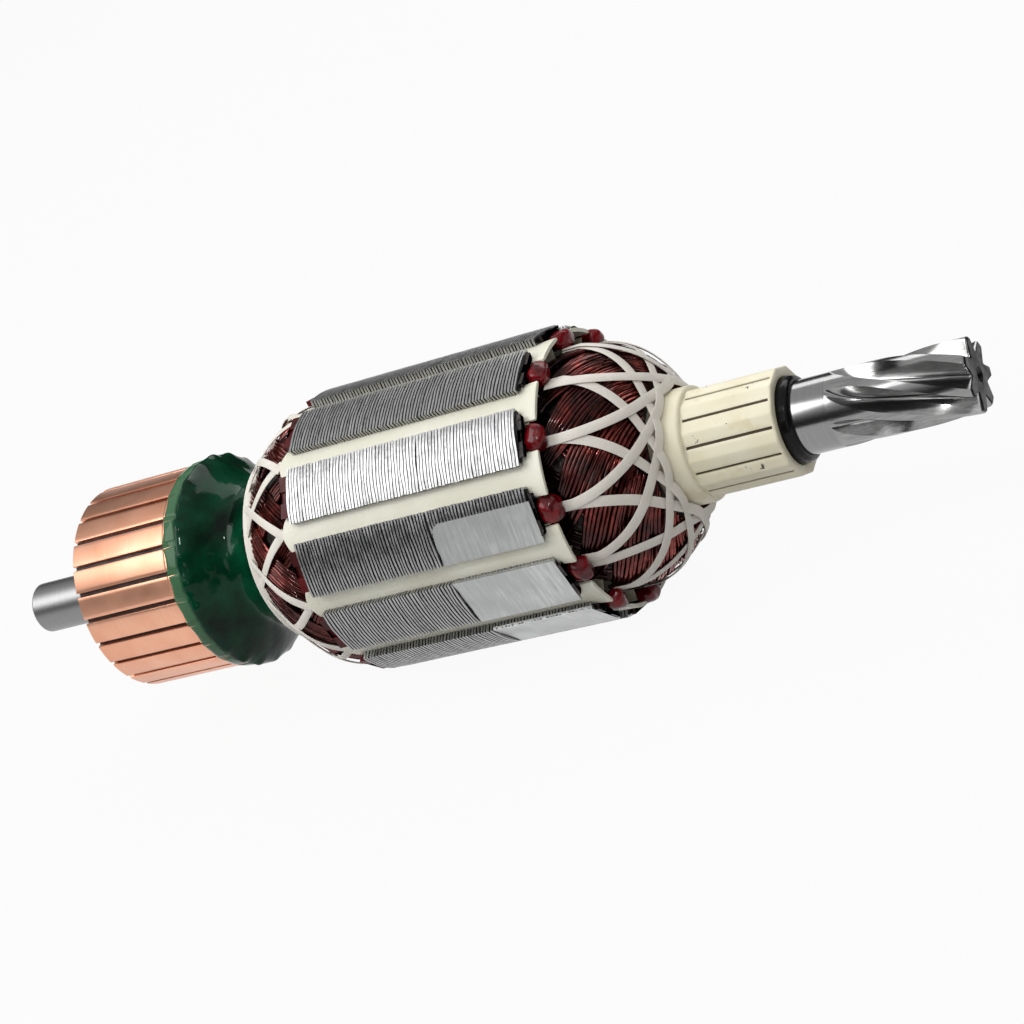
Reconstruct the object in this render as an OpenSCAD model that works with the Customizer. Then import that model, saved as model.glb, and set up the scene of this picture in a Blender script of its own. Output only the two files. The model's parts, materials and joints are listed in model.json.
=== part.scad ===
// Wound armature of a double-insulated universal motor.
// The shaft lies along X. Angles are taken about X, from +Z towards -Y.
// The origin is on the axis, at the shoulder of the commutator-end journal.

/* [Shaft] */
// Diameter of the commutator-end bearing journal
journal_d = 10; // [8:0.5:11]
// Length of the commutator-end bearing journal
journal_len = 23.6; // [15:0.1:35]
// Diameter of the shaft under the insulating tube
shaft_d = 12.6; // [12:0.1:13]
// Diameter of the drive-end bearing seat and of the pinion
drive_d = 13.2; // [13.1:0.1:15]
// Length of the plain seat between the fan sleeve and the pinion
seat_len = 8.4; // [7:0.1:20]
// Chamfer at both ends of the shaft
shaft_chamfer = 0.8; // [0.3:0.1:1.2]
// Mouth diameter of the centre holes
centre_hole_d = 4; // [2:0.5:5]

/* [Pinion] */
// Number of pinion teeth
pinion_teeth = 7; // [5:1:9]
// Length of the toothed end, with its run-out
pinion_len = 25.3; // [18:0.1:35]
// Depth of the tooth gaps
tooth_depth = 2.7; // [1.5:0.1:3.2]
// Width of a tooth's land, as an angle
land_angle = 13; // [8:1:18]
// Helix angle on the outside, right-handed
helix_angle = 20; // [0:1:30]
// Radius of the cutter that leaves the run-out
cutter_r = 16; // [10:1:25]
// Turn of the first tooth gap at the run-out
pinion_turn = 36; // [0:1:60]

/* [Insulating tube] */
// Wall of the tube moulded on the shaft
tube_wall = 1.4; // [1:0.1:2]
// Depth of the tube's end below the sleeve's mouth
tube_recess = 1.5; // [0.5:0.1:3]

/* [Core] */
// Outside diameter of the lamination stack
core_d = 54; // [50:0.5:60]
// Length of the lamination stack
core_len = 48.4; // [30:0.1:80]
// Number of slots
slots = 12; // [12:1:12]
// Width of the slot openings
slot_open = 3.64; // [2:0.02:5]
// Width of a tooth's stem
tooth_w = 4.8; // [4:0.1:5.4]
// Thickness of the tooth tips at the opening
tip_t = 1.5; // [1:0.1:2]
// Radius at the bottom of the slots
slot_bottom_r = 13.4; // [12.5:0.1:15]

/* [Balance cuts] */
// Depth of the flats ground into the core to balance it
cut_depth = 0.5; // [0.2:0.05:0.8]
// Length of the flats from the core's drive end
cut_len = 20.4; // [10:0.1:28]
// Turns of the flats from the top
cut_turns = [80.5, 105, 135]; // [0:0.5:360]

/* [Slot insulation] */
// Thickness of the slot liners
liner_t = 0.3; // [0.2:0.05:0.5]
// Length of liner beyond each core end
liner_over = 1.2; // [0.5:0.1:1.6]
// Thickness of the slot wedges
wedge_t = 0.9; // [0.6:0.1:1.2]
// Clearance at each side of a slot wedge
wedge_side_gap = 0.4; // [0.35:0.05:0.8]
// Flare of a wedge's tail at each side at the drive end
wedge_flare = 0.25; // [0:0.05:0.25]
// Length of the tails at the drive end
wedge_over_drive = 2.9; // [1.5:0.1:4]
// Length of the round tails at the commutator end
wedge_over_comm = 2.7; // [1.5:0.1:3.4]

/* [End insulators] */
// Thickness of the end plates
plate_t = 1.8; // [1.2:0.1:2.2]
// Height of the lugs
lug_h = 3.8; // [3:0.1:4.4]
// Depth of the lugs below the core's outside
lug_below = 0.8; // [0.4:0.1:1.2]
// Length of the lugs at the drive end
lug_len_drive = 5.8; // [4:0.1:6]
// Length of the lugs at the commutator end
lug_len_comm = 2.8; // [2.2:0.1:3]
// Rounding of the lugs
lug_round = 1.6; // [0.5:0.1:1.8]

/* [Commutator] */
// Number of bars
bars = 24; // [12:12:36]
// Diameter of the brush track
track_d = 40; // [38:0.5:41]
// Length of the brush track
track_len = 22; // [15:0.1:30]
// Length of the risers
riser_len = 2.6; // [2:0.1:4]
// Height of the risers above the track
riser_h = 0.4; // [0.2:0.1:0.6]
// Width of the slots between the bars
bar_gap = 0.9; // [0.5:0.05:1.2]
// Depth of the slots between the bars
undercut = 0.8; // [0.4:0.1:1.5]
// Turn of the first bar slot from the top
bar_turn = 2.5; // [0:0.5:15]
// Radial depth of the bars
bar_depth = 5.4; // [4.5:0.1:6]
// Distance of the bars' end from the journal's shoulder
bar_start = 0.4; // [0.2:0.1:2]
// Wall of the steel bush
bush_wall = 1.5; // [1:0.1:2]

/* [End windings] */
// Distance from the back of the risers to the core
riser_to_core = 30.9; // [28:0.1:40]
// Length of the green resin behind the risers
resin_len = 14; // [12:0.1:16]
// Distance from the back of the risers to the resin's waist
waist_at = 8.5; // [7:0.1:10]
// Radius of the resin's waist
waist_r = 14.2; // [13.5:0.1:15.5]
// Radius of the winding where it meets the resin
neck_r = 16.2; // [15:0.1:17.5]
// Largest radius of the winding at the commutator end
comm_winding_r = 24.4; // [23:0.1:25]
// Clearance between the lugs and the foot of the dome
dome_under = 0.2; // [0.1:0.1:1]
// Radius of the dome's curve
dome_curve_r = 17.2; // [16:0.1:18]
// Distance from the core to the middle of the dome's curve
dome_start = 4.2; // [3:0.1:6]
// Slant of the end turns over one end winding
turn_slant = 52; // [20:1:60]
// Depth of the valleys between the end turns
valley = 1.4; // [0.6:0.1:1.8]

/* [Lacing] */
// Width of the lacing tape
tape_w = 1.9; // [1:0.1:2.4]
// Thickness of the lacing tape
tape_t = 0.45; // [0.3:0.05:0.6]
// Slots crossed by one strap of lacing at the commutator end
strap_slots = 1.5; // [1:0.5:2]

/* [Fan sleeve] */
// Radius of the sleeve's plain collar
collar_r = 10.5; // [10.1:0.1:10.6]
// Length of the plain collar
collar_len = 9; // [6:0.1:10]
// Length of the collar that stands clear of the dome
collar_clear = 2.4; // [1:0.1:4]
// Length of the ribbed seat
rib_len = 17.2; // [10:0.1:30]
// Radius over the corners of the ribbed seat
rib_r = 9.85; // [9.3:0.05:10]
// Number of sides of the ribbed seat
rib_sides = 12; // [8:1:12]
// Width of the grooves in the sides
groove_w = 0.5; // [0.3:0.1:1]
// Depth of the grooves
groove_depth = 0.5; // [0.2:0.1:0.8]
// Turn of the first groove
groove_turn = 6; // [0:1:30]

/* [Fits] */
// Clearance left at glued and pressed seats
seat_gap = 0.02; // [0.01:0.01:0.05]
// Clearance round the wire bundles
coil_gap = 0.1; // [0.05:0.05:0.2]
// Clearance between the dome and the sleeve's collar
sleeve_gap = 0.4; // [0.3:0.1:0.6]
// Clearance under the lacing, which is stretched straight over the winding
lacing_gap = 0.25; // [0.2:0.01:0.35]

/* [Hidden] */
$fn = 96;

// Names of repeated sub-parts
function numbered(stem, i) = str(stem, i < 10 ? "0" : "", i);

// Places along the axis
riser_x = bar_start + track_len;
bar_end = riser_x + riser_len;
resin_end = bar_end + resin_len;
core_x = bar_end + riser_to_core;
core_end = core_x + core_len;
dome_x = core_end + dome_start;
dome_lip = 0.5;
dome_mouth_r = collar_r + sleeve_gap;
dome_foot_r = core_d / 2 - lug_below - lug_h - dome_under;
dome_rise = dome_foot_r - dome_curve_r;
dome_end = dome_x + sqrt(pow(dome_curve_r, 2) - pow(dome_mouth_r + dome_lip - dome_rise, 2));
collar_end = dome_end + collar_clear;
collar_x = collar_end - collar_len;
sleeve_end = collar_end + rib_len;
tube_end = sleeve_end - tube_recess;
pinion_x = sleeve_end + seat_len;
shaft_end = pinion_x + pinion_len;

// Radii
shaft_r = shaft_d / 2;
drive_r = drive_d / 2;
tube_r = shaft_r + seat_gap + tube_wall;
bore_r = tube_r + seat_gap;
core_r = core_d / 2;
track_r = track_d / 2;
bar_root_r = track_r - bar_depth;
bush_r = bore_r + bush_wall;
tip_under_r = core_r - tip_t;
wedge_out_r = tip_under_r - seat_gap;
wedge_in_r = wedge_out_r - wedge_t;
lug_w = tooth_w - 2 * seat_gap;
lug_out_r = core_r - lug_below;
lug_in_r = lug_out_r - lug_h;
lug_root = 1;
plate_r = lug_in_r + lug_root;
pitch = 360 / slots;
bar_pitch = 360 / bars;

// Overrun of cutting shapes, and overlap of shapes that join
over = 1;

// ---------- helpers ----------

// Draws a 2D shape, its Y up, as a bar along X
module along_x(from, len) {
    translate([from, 0, 0])
        rotate([90, 0, 90])
            linear_extrude(len)
                children();
}

// Turns a profile of radius against X round the axis
module turned() {
    rotate([0, 90, 0])
        rotate_extrude()
            children();
}

// A ring or tube along X
module tube_x(from, to, r_in, r_out) {
    along_x(from, to - from)
        difference() {
            circle(r_out);
            circle(r_in);
        }
}

// The point at a place along X, a radius and an angle
function polar(x, r, a) = [x, -r * sin(a), r * cos(a)];

// ---------- shaft with pinion ----------

// Radius of a tooth gap's floor, lifted where the cutter leaves
function cutter_lift(x, full_x) = x >= full_x ? 0 : cutter_r - sqrt(pow(cutter_r, 2) - pow(full_x - x, 2));
run_out = sqrt(2 * cutter_r * tooth_depth - pow(tooth_depth, 2));
flute_power = 1.8;
lip = 0.05;
pinion_r = drive_r - lip;
pinion_root_len = 1;
gap_steps = 4;
land_steps = 3;
pinion_rings = 20;
first_ring = 0.05;
ring_spread = 1.2;
least_depth = 0.01;
twist_per_mm = tan(helix_angle) * 180 / (PI * drive_r);

// Share of the half gap at which the flank leaves the outside, for a lift
function edge_share(lift) = 1 - pow(max(0, (tooth_depth - lift) / tooth_depth), 1 / flute_power);

// One tooth's outline, from gap middle to gap middle, as [angle, radius]
function tooth_points(lift) =
    let (
        half = 180 / pinion_teeth,
        land = land_angle / 2,
        t0 = edge_share(lift),
        edge = land + (half - land) * t0,
        gap = [for (i = [0:gap_steps]) let (t = 1 - (1 - t0) * i / gap_steps)
            [land + (half - land) * t, min(pinion_r, pinion_r - tooth_depth + lift
                + tooth_depth * pow(1 - t, flute_power))]]
    )
    concat(
        [for (p = gap) [-p[0], p[1]]],
        [for (i = [1:land_steps - 1]) [-edge + 2 * edge * i / land_steps, pinion_r]],
        [for (i = [gap_steps:-1:1]) gap[i]]
    );

// All the points of the section at one place along X
function pinion_ring(x, lift) = [
    for (k = [0:pinion_teeth - 1]) for (p = tooth_points(lift))
        polar(x, p[1], pinion_turn + p[0] + (k + 0.5) * 360 / pinion_teeth + twist_per_mm * (x - pinion_x))
];

// The same ring moved to another place and shrunk towards the axis
function moved_ring(ring, x, r) = [for (p = ring) let (k = r / norm([p[1], p[2]])) [x, p[1] * k, p[2] * k]];
function shrunk_ring(ring, x, k) = [for (p = ring) [x, p[1] * k, p[2] * k]];

// Faces of a solid through rings of equal length, the rings running along +X
function loft_faces(n, m) = concat(
    [[for (i = [0:n - 1]) i]],
    [for (j = [0:m - 2]) for (i = [0:n - 1]) let (k = (i + 1) % n) [j * n + i, (j + 1) * n + i, j * n + k]],
    [for (j = [0:m - 2]) for (i = [0:n - 1]) let (k = (i + 1) % n)
        [j * n + k, (j + 1) * n + i, (j + 1) * n + k]],
    [[for (i = [0:n - 1]) (m - 1) * n + n - 1 - i]]
);

module pinion_teeth_solid() {
    full = pinion_x + run_out;
    toothed = shaft_end - shaft_chamfer - pinion_x;
    places = concat(
        [-pinion_root_len],
        [for (i = [0:pinion_rings]) first_ring + (toothed - first_ring) * pow(i / pinion_rings, ring_spread)]
    );
    body = [for (p = places)
        let (lift = cutter_lift(pinion_x + max(p, 0), full))
        pinion_ring(pinion_x + p, min(lift, tooth_depth - least_depth))];
    last = body[len(body) - 1];
    hole_r = centre_hole_d / 2;
    rings = concat(body, [
        shrunk_ring(last, shaft_end, 1 - shaft_chamfer / drive_r),
        moved_ring(last, shaft_end, hole_r),
        moved_ring(last, shaft_end - hole_r * sqrt(3), hole_r / 20)
    ]);
    polyhedron(
        points = [for (ring = rings) for (p = ring) p],
        faces = loft_faces(len(rings[0]), len(rings)),
        convexity = 6
    );
}

module shaft() {
    hole_r = centre_hole_d / 2;
    hole_tip_r = hole_r / 20;
    color([0.62, 0.62, 0.63])
        difference() {
            union() {
                turned()
                    polygon([
                        [0, -journal_len],
                        [journal_d / 2 - shaft_chamfer, -journal_len],
                        [journal_d / 2, -journal_len + shaft_chamfer],
                        [journal_d / 2, 0],
                        [shaft_r, 0],
                        [shaft_r, tube_end],
                        [drive_r, tube_end],
                        [drive_r, pinion_x],
                        [0, pinion_x]
                    ]);
                pinion_teeth_solid();
            }
            turned()
                polygon([
                    [0, -journal_len - over],
                    [hole_r, -journal_len - over],
                    [hole_r, -journal_len],
                    [hole_tip_r, -journal_len + hole_r * sqrt(3)],
                    [0, -journal_len + hole_r * sqrt(3)]
                ]);
        }
}

module shaft_insulation() {
    color([0.04, 0.04, 0.045])
        tube_x(bar_start, tube_end - seat_gap, shaft_r + seat_gap, tube_r);
}

// ---------- core ----------

half_pitch = pitch / 2;
slot_foot = (slot_bottom_r - tooth_w / 2) / (1 - sin(half_pitch));

// Half the slot's width at a height on its middle line, less an inset
function slot_half(y, inset) = (y * sin(half_pitch) - tooth_w / 2 - inset) / cos(half_pitch);

wedge_w = 2 * (slot_half(wedge_in_r, 0) - wedge_side_gap);
wedge_tail_w = wedge_w + 2 * wedge_flare;

// The slot's outline, pointing up, less an inset, up to a given radius
module slot_2d(inset, top_r) {
    foot_r = slot_foot * sin(half_pitch) - tooth_w / 2 - inset;
    touch_y = slot_foot - foot_r * sin(half_pitch);
    touch_x = foot_r * cos(half_pitch);
    translate([0, slot_foot])
        circle(foot_r);
    intersection() {
        polygon([
            [-touch_x, touch_y],
            [touch_x, touch_y],
            [slot_half(core_r, inset), core_r],
            [-slot_half(core_r, inset), core_r]
        ]);
        circle(top_r);
    }
}

module core_2d(outer_r) {
    difference() {
        circle(outer_r);
        circle(bore_r);
        for (i = [0:slots - 1])
            rotate(i * pitch) {
                slot_2d(0, tip_under_r);
                translate([-slot_open / 2, core_r - 3 * tip_t])
                    square([slot_open, 6 * tip_t]);
            }
    }
}

module core() {
    flat_w = core_r;
    color([0.55, 0.55, 0.57])
        difference() {
            along_x(core_x, core_len)
                core_2d(core_r);
            for (a = cut_turns)
                rotate([a, 0, 0])
                    translate([core_end - cut_len, -flat_w / 2, core_r - cut_depth])
                        cube([cut_len + over, flat_w, cut_depth + over]);
        }
}

// ---------- end insulators ----------

module end_insulator(face_x, way, lug_len) {
    color([0.36, 0.03, 0.05])
        translate([face_x, 0, 0])
            facing(way) {
                along_x(seat_gap, plate_t)
                    core_2d(plate_r);
                for (i = [0:slots - 1])
                    rotate([(i + 0.5) * pitch, 0, 0])
                        end_lug(lug_len);
            }
}

// Leaves a part as it is, or turns it to face the other way
module facing(way) {
    if (way > 0)
        children();
    else
        mirror([1, 0, 0])
            children();
}

module end_lug(lug_len) {
    middle = [lug_out_r - lug_round, lug_len - lug_round];
    rounding = [for (a = [0:18:90]) middle + lug_round * [cos(a), sin(a)]];
    intersection() {
        turned()
            polygon(concat([[lug_in_r, seat_gap], [lug_out_r, seat_gap]], rounding, [[lug_in_r, lug_len]]));
        translate([0, -lug_w / 2, 0])
            cube([lug_len + over, lug_w, core_r]);
    }
}

module end_insulator_commutator() {
    end_insulator(core_x, -1, lug_len_comm);
}

module end_insulator_drive() {
    end_insulator(core_end, 1, lug_len_drive);
}

// ---------- slot liners and wedges ----------

module slot_liners() {
    color([0.80, 0.74, 0.60])
        for (i = [0:slots - 1])
            rotate([i * pitch, 0, 0])
                along_x(core_x - liner_over, core_len + 2 * liner_over)
                    difference() {
                        slot_2d(seat_gap, wedge_in_r - seat_gap);
                        slot_2d(seat_gap + liner_t, core_r);
                    }
}

module slot_wedge(i) {
    tail_r = (pow(wedge_w / 2, 2) + pow(wedge_over_comm, 2)) / (2 * wedge_over_comm);
    color([0.93, 0.91, 0.80])
        rotate([i * pitch, 0, 0])
            intersection() {
                tube_x(core_x - wedge_over_comm, core_end + wedge_over_drive, wedge_in_r, wedge_out_r);
                linear_extrude(core_r)
                    union() {
                        intersection() {
                            translate([core_x - wedge_over_comm + tail_r, 0])
                                circle(tail_r);
                            translate([core_x - wedge_over_comm, -wedge_w / 2])
                                square([wedge_over_comm + over, wedge_w]);
                        }
                        polygon([
                            [core_x + over / 2, -wedge_w / 2],
                            [core_end, -wedge_w / 2],
                            [core_end + wedge_over_drive, -wedge_tail_w / 2],
                            [core_end + wedge_over_drive, wedge_tail_w / 2],
                            [core_end, wedge_w / 2],
                            [core_x + over / 2, wedge_w / 2]
                        ]);
                    }
            }
}

// ---------- coils ----------

// Outer radius of the dome at a distance along X
function dome_r(x) = dome_rise + sqrt(max(0, pow(dome_curve_r, 2) - pow(max(0, x - dome_x), 2)));

// Outer radius of the commutator-end winding at a distance along X
crown_x = core_x - 4;
crown_power = 1.15;
function neck_share(x) = min(1, max(0, (x - resin_end) / (crown_x - resin_end)));
function comm_r(x) = neck_r + (comm_winding_r - neck_r) * pow(sin(90 * neck_share(x)), crown_power);

petal_half = half_pitch - 0.12;
crest_share = 0.3;
shoulder_share = 0.6;
shoulder_drop = 1 / 7;
bundle_in_r = bore_r + 0.4;
crest_under = 0.2;
dome_start_gap = 0.3;
collar_start_gap = 1.5;

// One section of a petal: [angle, radius] round its outline
function petal_section(r_in, r_crest, r_side) =
    let (
        edge_r = r_side - min(valley, (r_side - r_in) / 2),
        shoulder_r = r_side - (r_side - edge_r) * shoulder_drop
    )
    [
        [-petal_half, r_in],
        [-petal_half, edge_r],
        [-shoulder_share * petal_half, shoulder_r],
        [-crest_share * petal_half, r_crest],
        [crest_share * petal_half, r_crest],
        [shoulder_share * petal_half, shoulder_r],
        [petal_half, edge_r],
        [petal_half, r_in],
        [0, r_in]
    ];

// A petal through stations of [x, turn, inner radius, crest radius, side radius]
module petal(stations) {
    rings = [for (s = stations) [for (p = petal_section(s[2], s[3], s[4])) polar(s[0], p[1], p[0] + s[1])]];
    n = len(rings[0]);
    m = len(rings);
    polyhedron(
        points = [for (ring = rings) for (p = ring) p],
        faces = concat(
            [[for (i = [0:n - 1]) i]],
            [for (j = [0:m - 2]) for (i = [0:n - 1]) for (f = petal_quad(i, j, n)) f],
            [[for (i = [0:n - 1]) (m - 1) * n + n - 1 - i]]
        ),
        convexity = 4
    );
}

// The two triangles of a quad, with matching diagonals on the two sides of a petal
function petal_quad(i, j, n) =
    let (
        k = (i + 1) % n,
        a = j * n + i,
        b = j * n + k,
        c = (j + 1) * n + k,
        d = (j + 1) * n + i
    )
    i < n / 2 ? [[a, c, b], [a, d, c]] : [[a, d, b], [b, d, c]];

drive_steps = 6;
function drive_stations() =
    let (first = core_end + lug_len_drive + dome_start_gap, last = dome_end)
    concat(
        [[core_end + plate_t + 2 * seat_gap, 0, bundle_in_r, wedge_in_r - crest_under, dome_foot_r]],
        [for (i = [0:drive_steps])
            let (
                s = sin(90 * i / drive_steps),
                x = first + (last - first) * s,
                in_r = x > collar_x - collar_start_gap ? dome_mouth_r : bundle_in_r
            )
            [x, turn_slant * s, in_r, dome_r(x), dome_r(x)]]
    );

comm_steps = 6;
function comm_stations() =
    let (first = core_x - lug_len_comm - coil_gap, last = resin_end + seat_gap)
    [for (i = [comm_steps:-1:0]) let (s = i / comm_steps, x = first + (last - first) * s)
        [x, -turn_slant * s, bundle_in_r, comm_r(x), comm_r(x)]];

module coil(i) {
    inset = seat_gap + liner_t + coil_gap;
    color([0.42, 0.10, 0.07])
        rotate([i * pitch, 0, 0]) {
            along_x(core_x - lug_len_comm - over, core_len + lug_len_comm + plate_t + 2 * over)
                slot_2d(inset, wedge_in_r - coil_gap);
            petal(drive_stations());
            petal(comm_stations());
        }
}

// ---------- commutator ----------

bevel = 0.6;
lip_depth = 2.2;
barb_depth = 3.4;
barb_reach = 2.4;
barb_back = 1.4;
barb_foot = 0.6;
tail_cut = 2;

// The bars' inner outline as [x, radius], from the free end to the riser end, less a gap on the hub's side
function root_line(gap) = [
    [bar_start, track_r - lip_depth - gap],
    [bar_start + barb_reach - 2 * gap, track_r - barb_depth - gap / 2],
    [bar_start + barb_reach - barb_back - 2 * gap, bar_root_r + barb_foot - gap / 2],
    [bar_start + barb_reach - barb_back + barb_foot - gap, bar_root_r - gap],
    [bar_end - tail_cut - barb_reach + barb_back - barb_foot + gap, bar_root_r - gap],
    [bar_end - tail_cut - barb_reach + barb_back + 2 * gap, bar_root_r + barb_foot - gap / 2],
    [bar_end - tail_cut - barb_reach + 2 * gap, track_r - barb_depth - gap / 2],
    [bar_end, track_r - lip_depth - gap]
];

module commutator_bar(i) {
    side = bar_gap / 2 / cos(bar_pitch / 2);
    spread = (track_r + 2) * tan(bar_pitch / 2);
    color([0.84, 0.56, 0.40])
        rotate([bar_turn + (i + 0.5) * bar_pitch, 0, 0])
            intersection() {
                turned()
                    polygon(concat(
                        [for (p = root_line(0)) [p[1], p[0]]],
                        [
                            [track_r + riser_h, bar_end],
                            [track_r + riser_h, riser_x + bevel / 2],
                            [track_r, riser_x],
                            [track_r, bar_start + bevel],
                            [track_r - bevel, bar_start]
                        ]
                    ));
                along_x(bar_start - 1, bar_end - bar_start + 2)
                    polygon([
                        [0, side / tan(bar_pitch / 2)],
                        [spread - side, track_r + 2],
                        [side - spread, track_r + 2]
                    ]);
            }
}

module commutator_hub() {
    fin_r = track_r - undercut;
    fin_t = bar_gap - 2 * seat_gap;
    fin_x = bar_start + 0.2;
    color([0.10, 0.07, 0.06]) {
        turned()
            polygon(concat(
                [[bush_r + seat_gap, bar_start]],
                [for (p = root_line(seat_gap)) [p[1], p[0]]],
                [[bush_r + seat_gap, bar_end]]
            ));
        for (i = [0:bars - 1])
            rotate([bar_turn + i * bar_pitch, 0, 0])
                translate([fin_x, -fin_t / 2, bar_root_r - over])
                    cube([bar_end - fin_x, fin_t, fin_r - bar_root_r + over]);
    }
}

module commutator_bush() {
    recess = 0.5;
    color([0.55, 0.54, 0.50])
        tube_x(bar_start + recess, bar_end, bore_r, bush_r);
}

skin_r = track_r + riser_h + seat_gap;
skin_t = 0.4;
skin_edge_x = riser_x + bevel;
shoulder_x = bar_end + 0.7;
waist_x = bar_end + waist_at;
shoulder_steps = 8;
rise_steps = 4;
hook_r = 1.7;
hook_x = bar_end - 0.6;
hook_middle_r = skin_r - 0.9;

// The resin's shoulder, falling to the waist, as [radius, x], with t from 0 to 1
function fall_point(t) = [
    waist_r + (skin_r + skin_t - waist_r) * (1 + cos(180 * t)) / 2,
    shoulder_x + (waist_x - shoulder_x) * t
];

// The resin's rise from the waist to the winding, with t from 0 to 1
function rise_point(t) = [
    waist_r + (neck_r - waist_r) * (1 - cos(90 * t)),
    waist_x + (resin_end - waist_x) * t
];

module riser_resin() {
    color([0.03, 0.22, 0.13])
        difference() {
            union() {
                turned()
                    polygon(concat(
                        [[bore_r, bar_end + seat_gap], [skin_r, bar_end + seat_gap]],
                        [
                            [skin_r, skin_edge_x],
                            [skin_r + skin_t / 2, riser_x + bevel / 2],
                            [skin_r + skin_t, skin_edge_x + skin_t]
                        ],
                        [for (i = [0:shoulder_steps]) fall_point(i / shoulder_steps)],
                        [for (i = [1:rise_steps]) rise_point(i / rise_steps)],
                        [[bore_r, resin_end]]
                    ));
                for (i = [0:bars - 1])
                    rotate([bar_turn + (i + 0.5) * bar_pitch, 0, 0])
                        translate([hook_x, 0, hook_middle_r])
                            sphere(hook_r);
            }
            turned()
                polygon([
                    [0, riser_x - over],
                    [skin_r, riser_x - over],
                    [skin_r, bar_end + seat_gap],
                    [0, bar_end + seat_gap]
                ]);
        }
}

// ---------- lacing ----------

function unit(v) = v / norm(v);

// A flat tape along points, each with the outward direction of what it lies on
module tape(points, outs, closed = false) {
    n = len(points);
    function next_of(i) = closed ? (i + 1) % n : min(i + 1, n - 1);
    function last_of(i) = closed ? (i + n - 1) % n : max(i - 1, 0);
    corners = [for (i = [0:n - 1])
        let (
            run = unit(points[next_of(i)] - points[last_of(i)]),
            side = unit(cross(run, outs[i])),
            up = cross(side, run)
        )
        for (c = [[-0.5, 0], [0.5, 0], [0.5, 1], [-0.5, 1]])
            points[i] + side * c[0] * tape_w + up * (c[1] * tape_t)];
    last = closed ? n - 1 : n - 2;
    polyhedron(
        points = corners,
        faces = concat(
            closed ? [] : [[3, 2, 1, 0]],
            [for (i = [0:last]) for (j = [0:3]) let (k = (j + 1) % 4, m = (i + 1) % n)
                [i * 4 + j, i * 4 + k, m * 4 + k]],
            [for (i = [0:last]) for (j = [0:3]) let (k = (j + 1) % 4, m = (i + 1) % n)
                [i * 4 + j, m * 4 + k, m * 4 + j]],
            closed ? [] : [[for (j = [0:3]) (n - 1) * 4 + j]]
        ),
        convexity = 4
    );
}

chord_steps = 12;
chord_foot_x = core_end + lug_len_drive + 1;
chord_reach = dome_rise + sqrt(pow(dome_curve_r, 2) - pow(chord_foot_x - dome_x, 2));
chord_touch_r = collar_r + tape_w / 2;
chord_half = sqrt(pow(chord_reach, 2) - pow(chord_touch_r, 2));

// Place along X of the dome's surface at a radius
function dome_surface_x(r) = dome_x + sqrt(max(0, pow(dome_curve_r, 2) - pow(max(0, r - dome_rise), 2)));

module dome_chord(a) {
    steps = [for (i = [0:chord_steps]) chord_half * sin(90 * (2 * i / chord_steps - 1))];
    radii = [for (s = steps) norm([chord_touch_r, s])];
    turns = [for (s = steps) a + atan2(s, chord_touch_r)];
    outs = [for (i = [0:chord_steps])
        let (lean = (dome_surface_x(radii[i]) - dome_x) / dome_curve_r)
        polar(lean, sqrt(max(0, 1 - lean * lean)), turns[i])];
    points = [for (i = [0:chord_steps])
        polar(dome_surface_x(radii[i]), radii[i], turns[i]) + outs[i] * lacing_gap];
    tape(points, outs);
}

module lacing_drive() {
    color([0.86, 0.83, 0.78])
        for (i = [0:slots - 1])
            dome_chord(i * pitch);
}

strap_steps = 8;
strap_back = 1.6;
strap_start = core_x - lug_len_comm - strap_back;
strap_end = resin_end + strap_back;

// Slope of the commutator-end winding at a distance along X
function comm_slope(x) = comm_r(x + 0.5) - comm_r(x - 0.5);

// Outward direction of the commutator-end winding, at a distance along X and an angle
function comm_out(x, a) = polar(-comm_slope(x), 1, a) / norm([1, comm_slope(x)]);

module neck_strap(a, way) {
    xs = [for (i = [0:strap_steps]) strap_start + (strap_end - strap_start) * i / strap_steps];
    turns = [for (i = [0:strap_steps]) a + way * strap_slots * pitch * i / strap_steps];
    outs = [for (i = [0:strap_steps]) comm_out(xs[i], turns[i])];
    points = [for (i = [0:strap_steps]) polar(xs[i], comm_r(xs[i]), turns[i]) + outs[i] * lacing_gap];
    tape(points, outs);
}

// The band round the neck, laid over the ends of the straps
module neck_band() {
    ring_steps = 36;
    lift = lacing_gap + tape_t / 2;
    ring_r = comm_r(strap_end) / cos(180 / ring_steps);
    turns = [for (i = [0:ring_steps - 1]) 360 / ring_steps * i];
    outs = [for (a = turns) comm_out(strap_end, a)];
    points = [for (i = [0:ring_steps - 1]) polar(strap_end, ring_r, turns[i]) + outs[i] * lift];
    tape(points, outs, closed = true);
}

module lacing_commutator() {
    color([0.86, 0.83, 0.78]) {
        for (i = [0:slots - 1]) {
            neck_strap(i * pitch, 1);
            neck_strap(i * pitch, -1);
        }
        neck_band();
    }
}

// ---------- fan sleeve ----------

module fan_sleeve() {
    flat_r = rib_r * cos(180 / rib_sides);
    side = 360 / rib_sides;
    collar_round = 0.6;
    groove_x = collar_end + 0.3;
    groove_end = sleeve_end - 0.6;
    color([0.91, 0.87, 0.73])
        difference() {
            union() {
                turned()
                    polygon([
                        [bore_r, collar_x],
                        [collar_r, collar_x],
                        [collar_r, collar_end - collar_round],
                        [collar_r - collar_round, collar_end],
                        [bore_r, collar_end]
                    ]);
                along_x(collar_end - over, rib_len + over)
                    rotate(90 + groove_turn + side / 2)
                        circle(rib_r, $fn = rib_sides);
            }
            along_x(collar_x - over, sleeve_end - collar_x + 2 * over)
                circle(bore_r);
            for (i = [0:rib_sides - 1])
                rotate([groove_turn + i * side, 0, 0])
                    translate([groove_x, -groove_w / 2, flat_r - groove_depth])
                        cube([groove_end - groove_x, groove_w, groove_depth + over]);
        }
}

// ---------- what is drawn ----------

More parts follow.
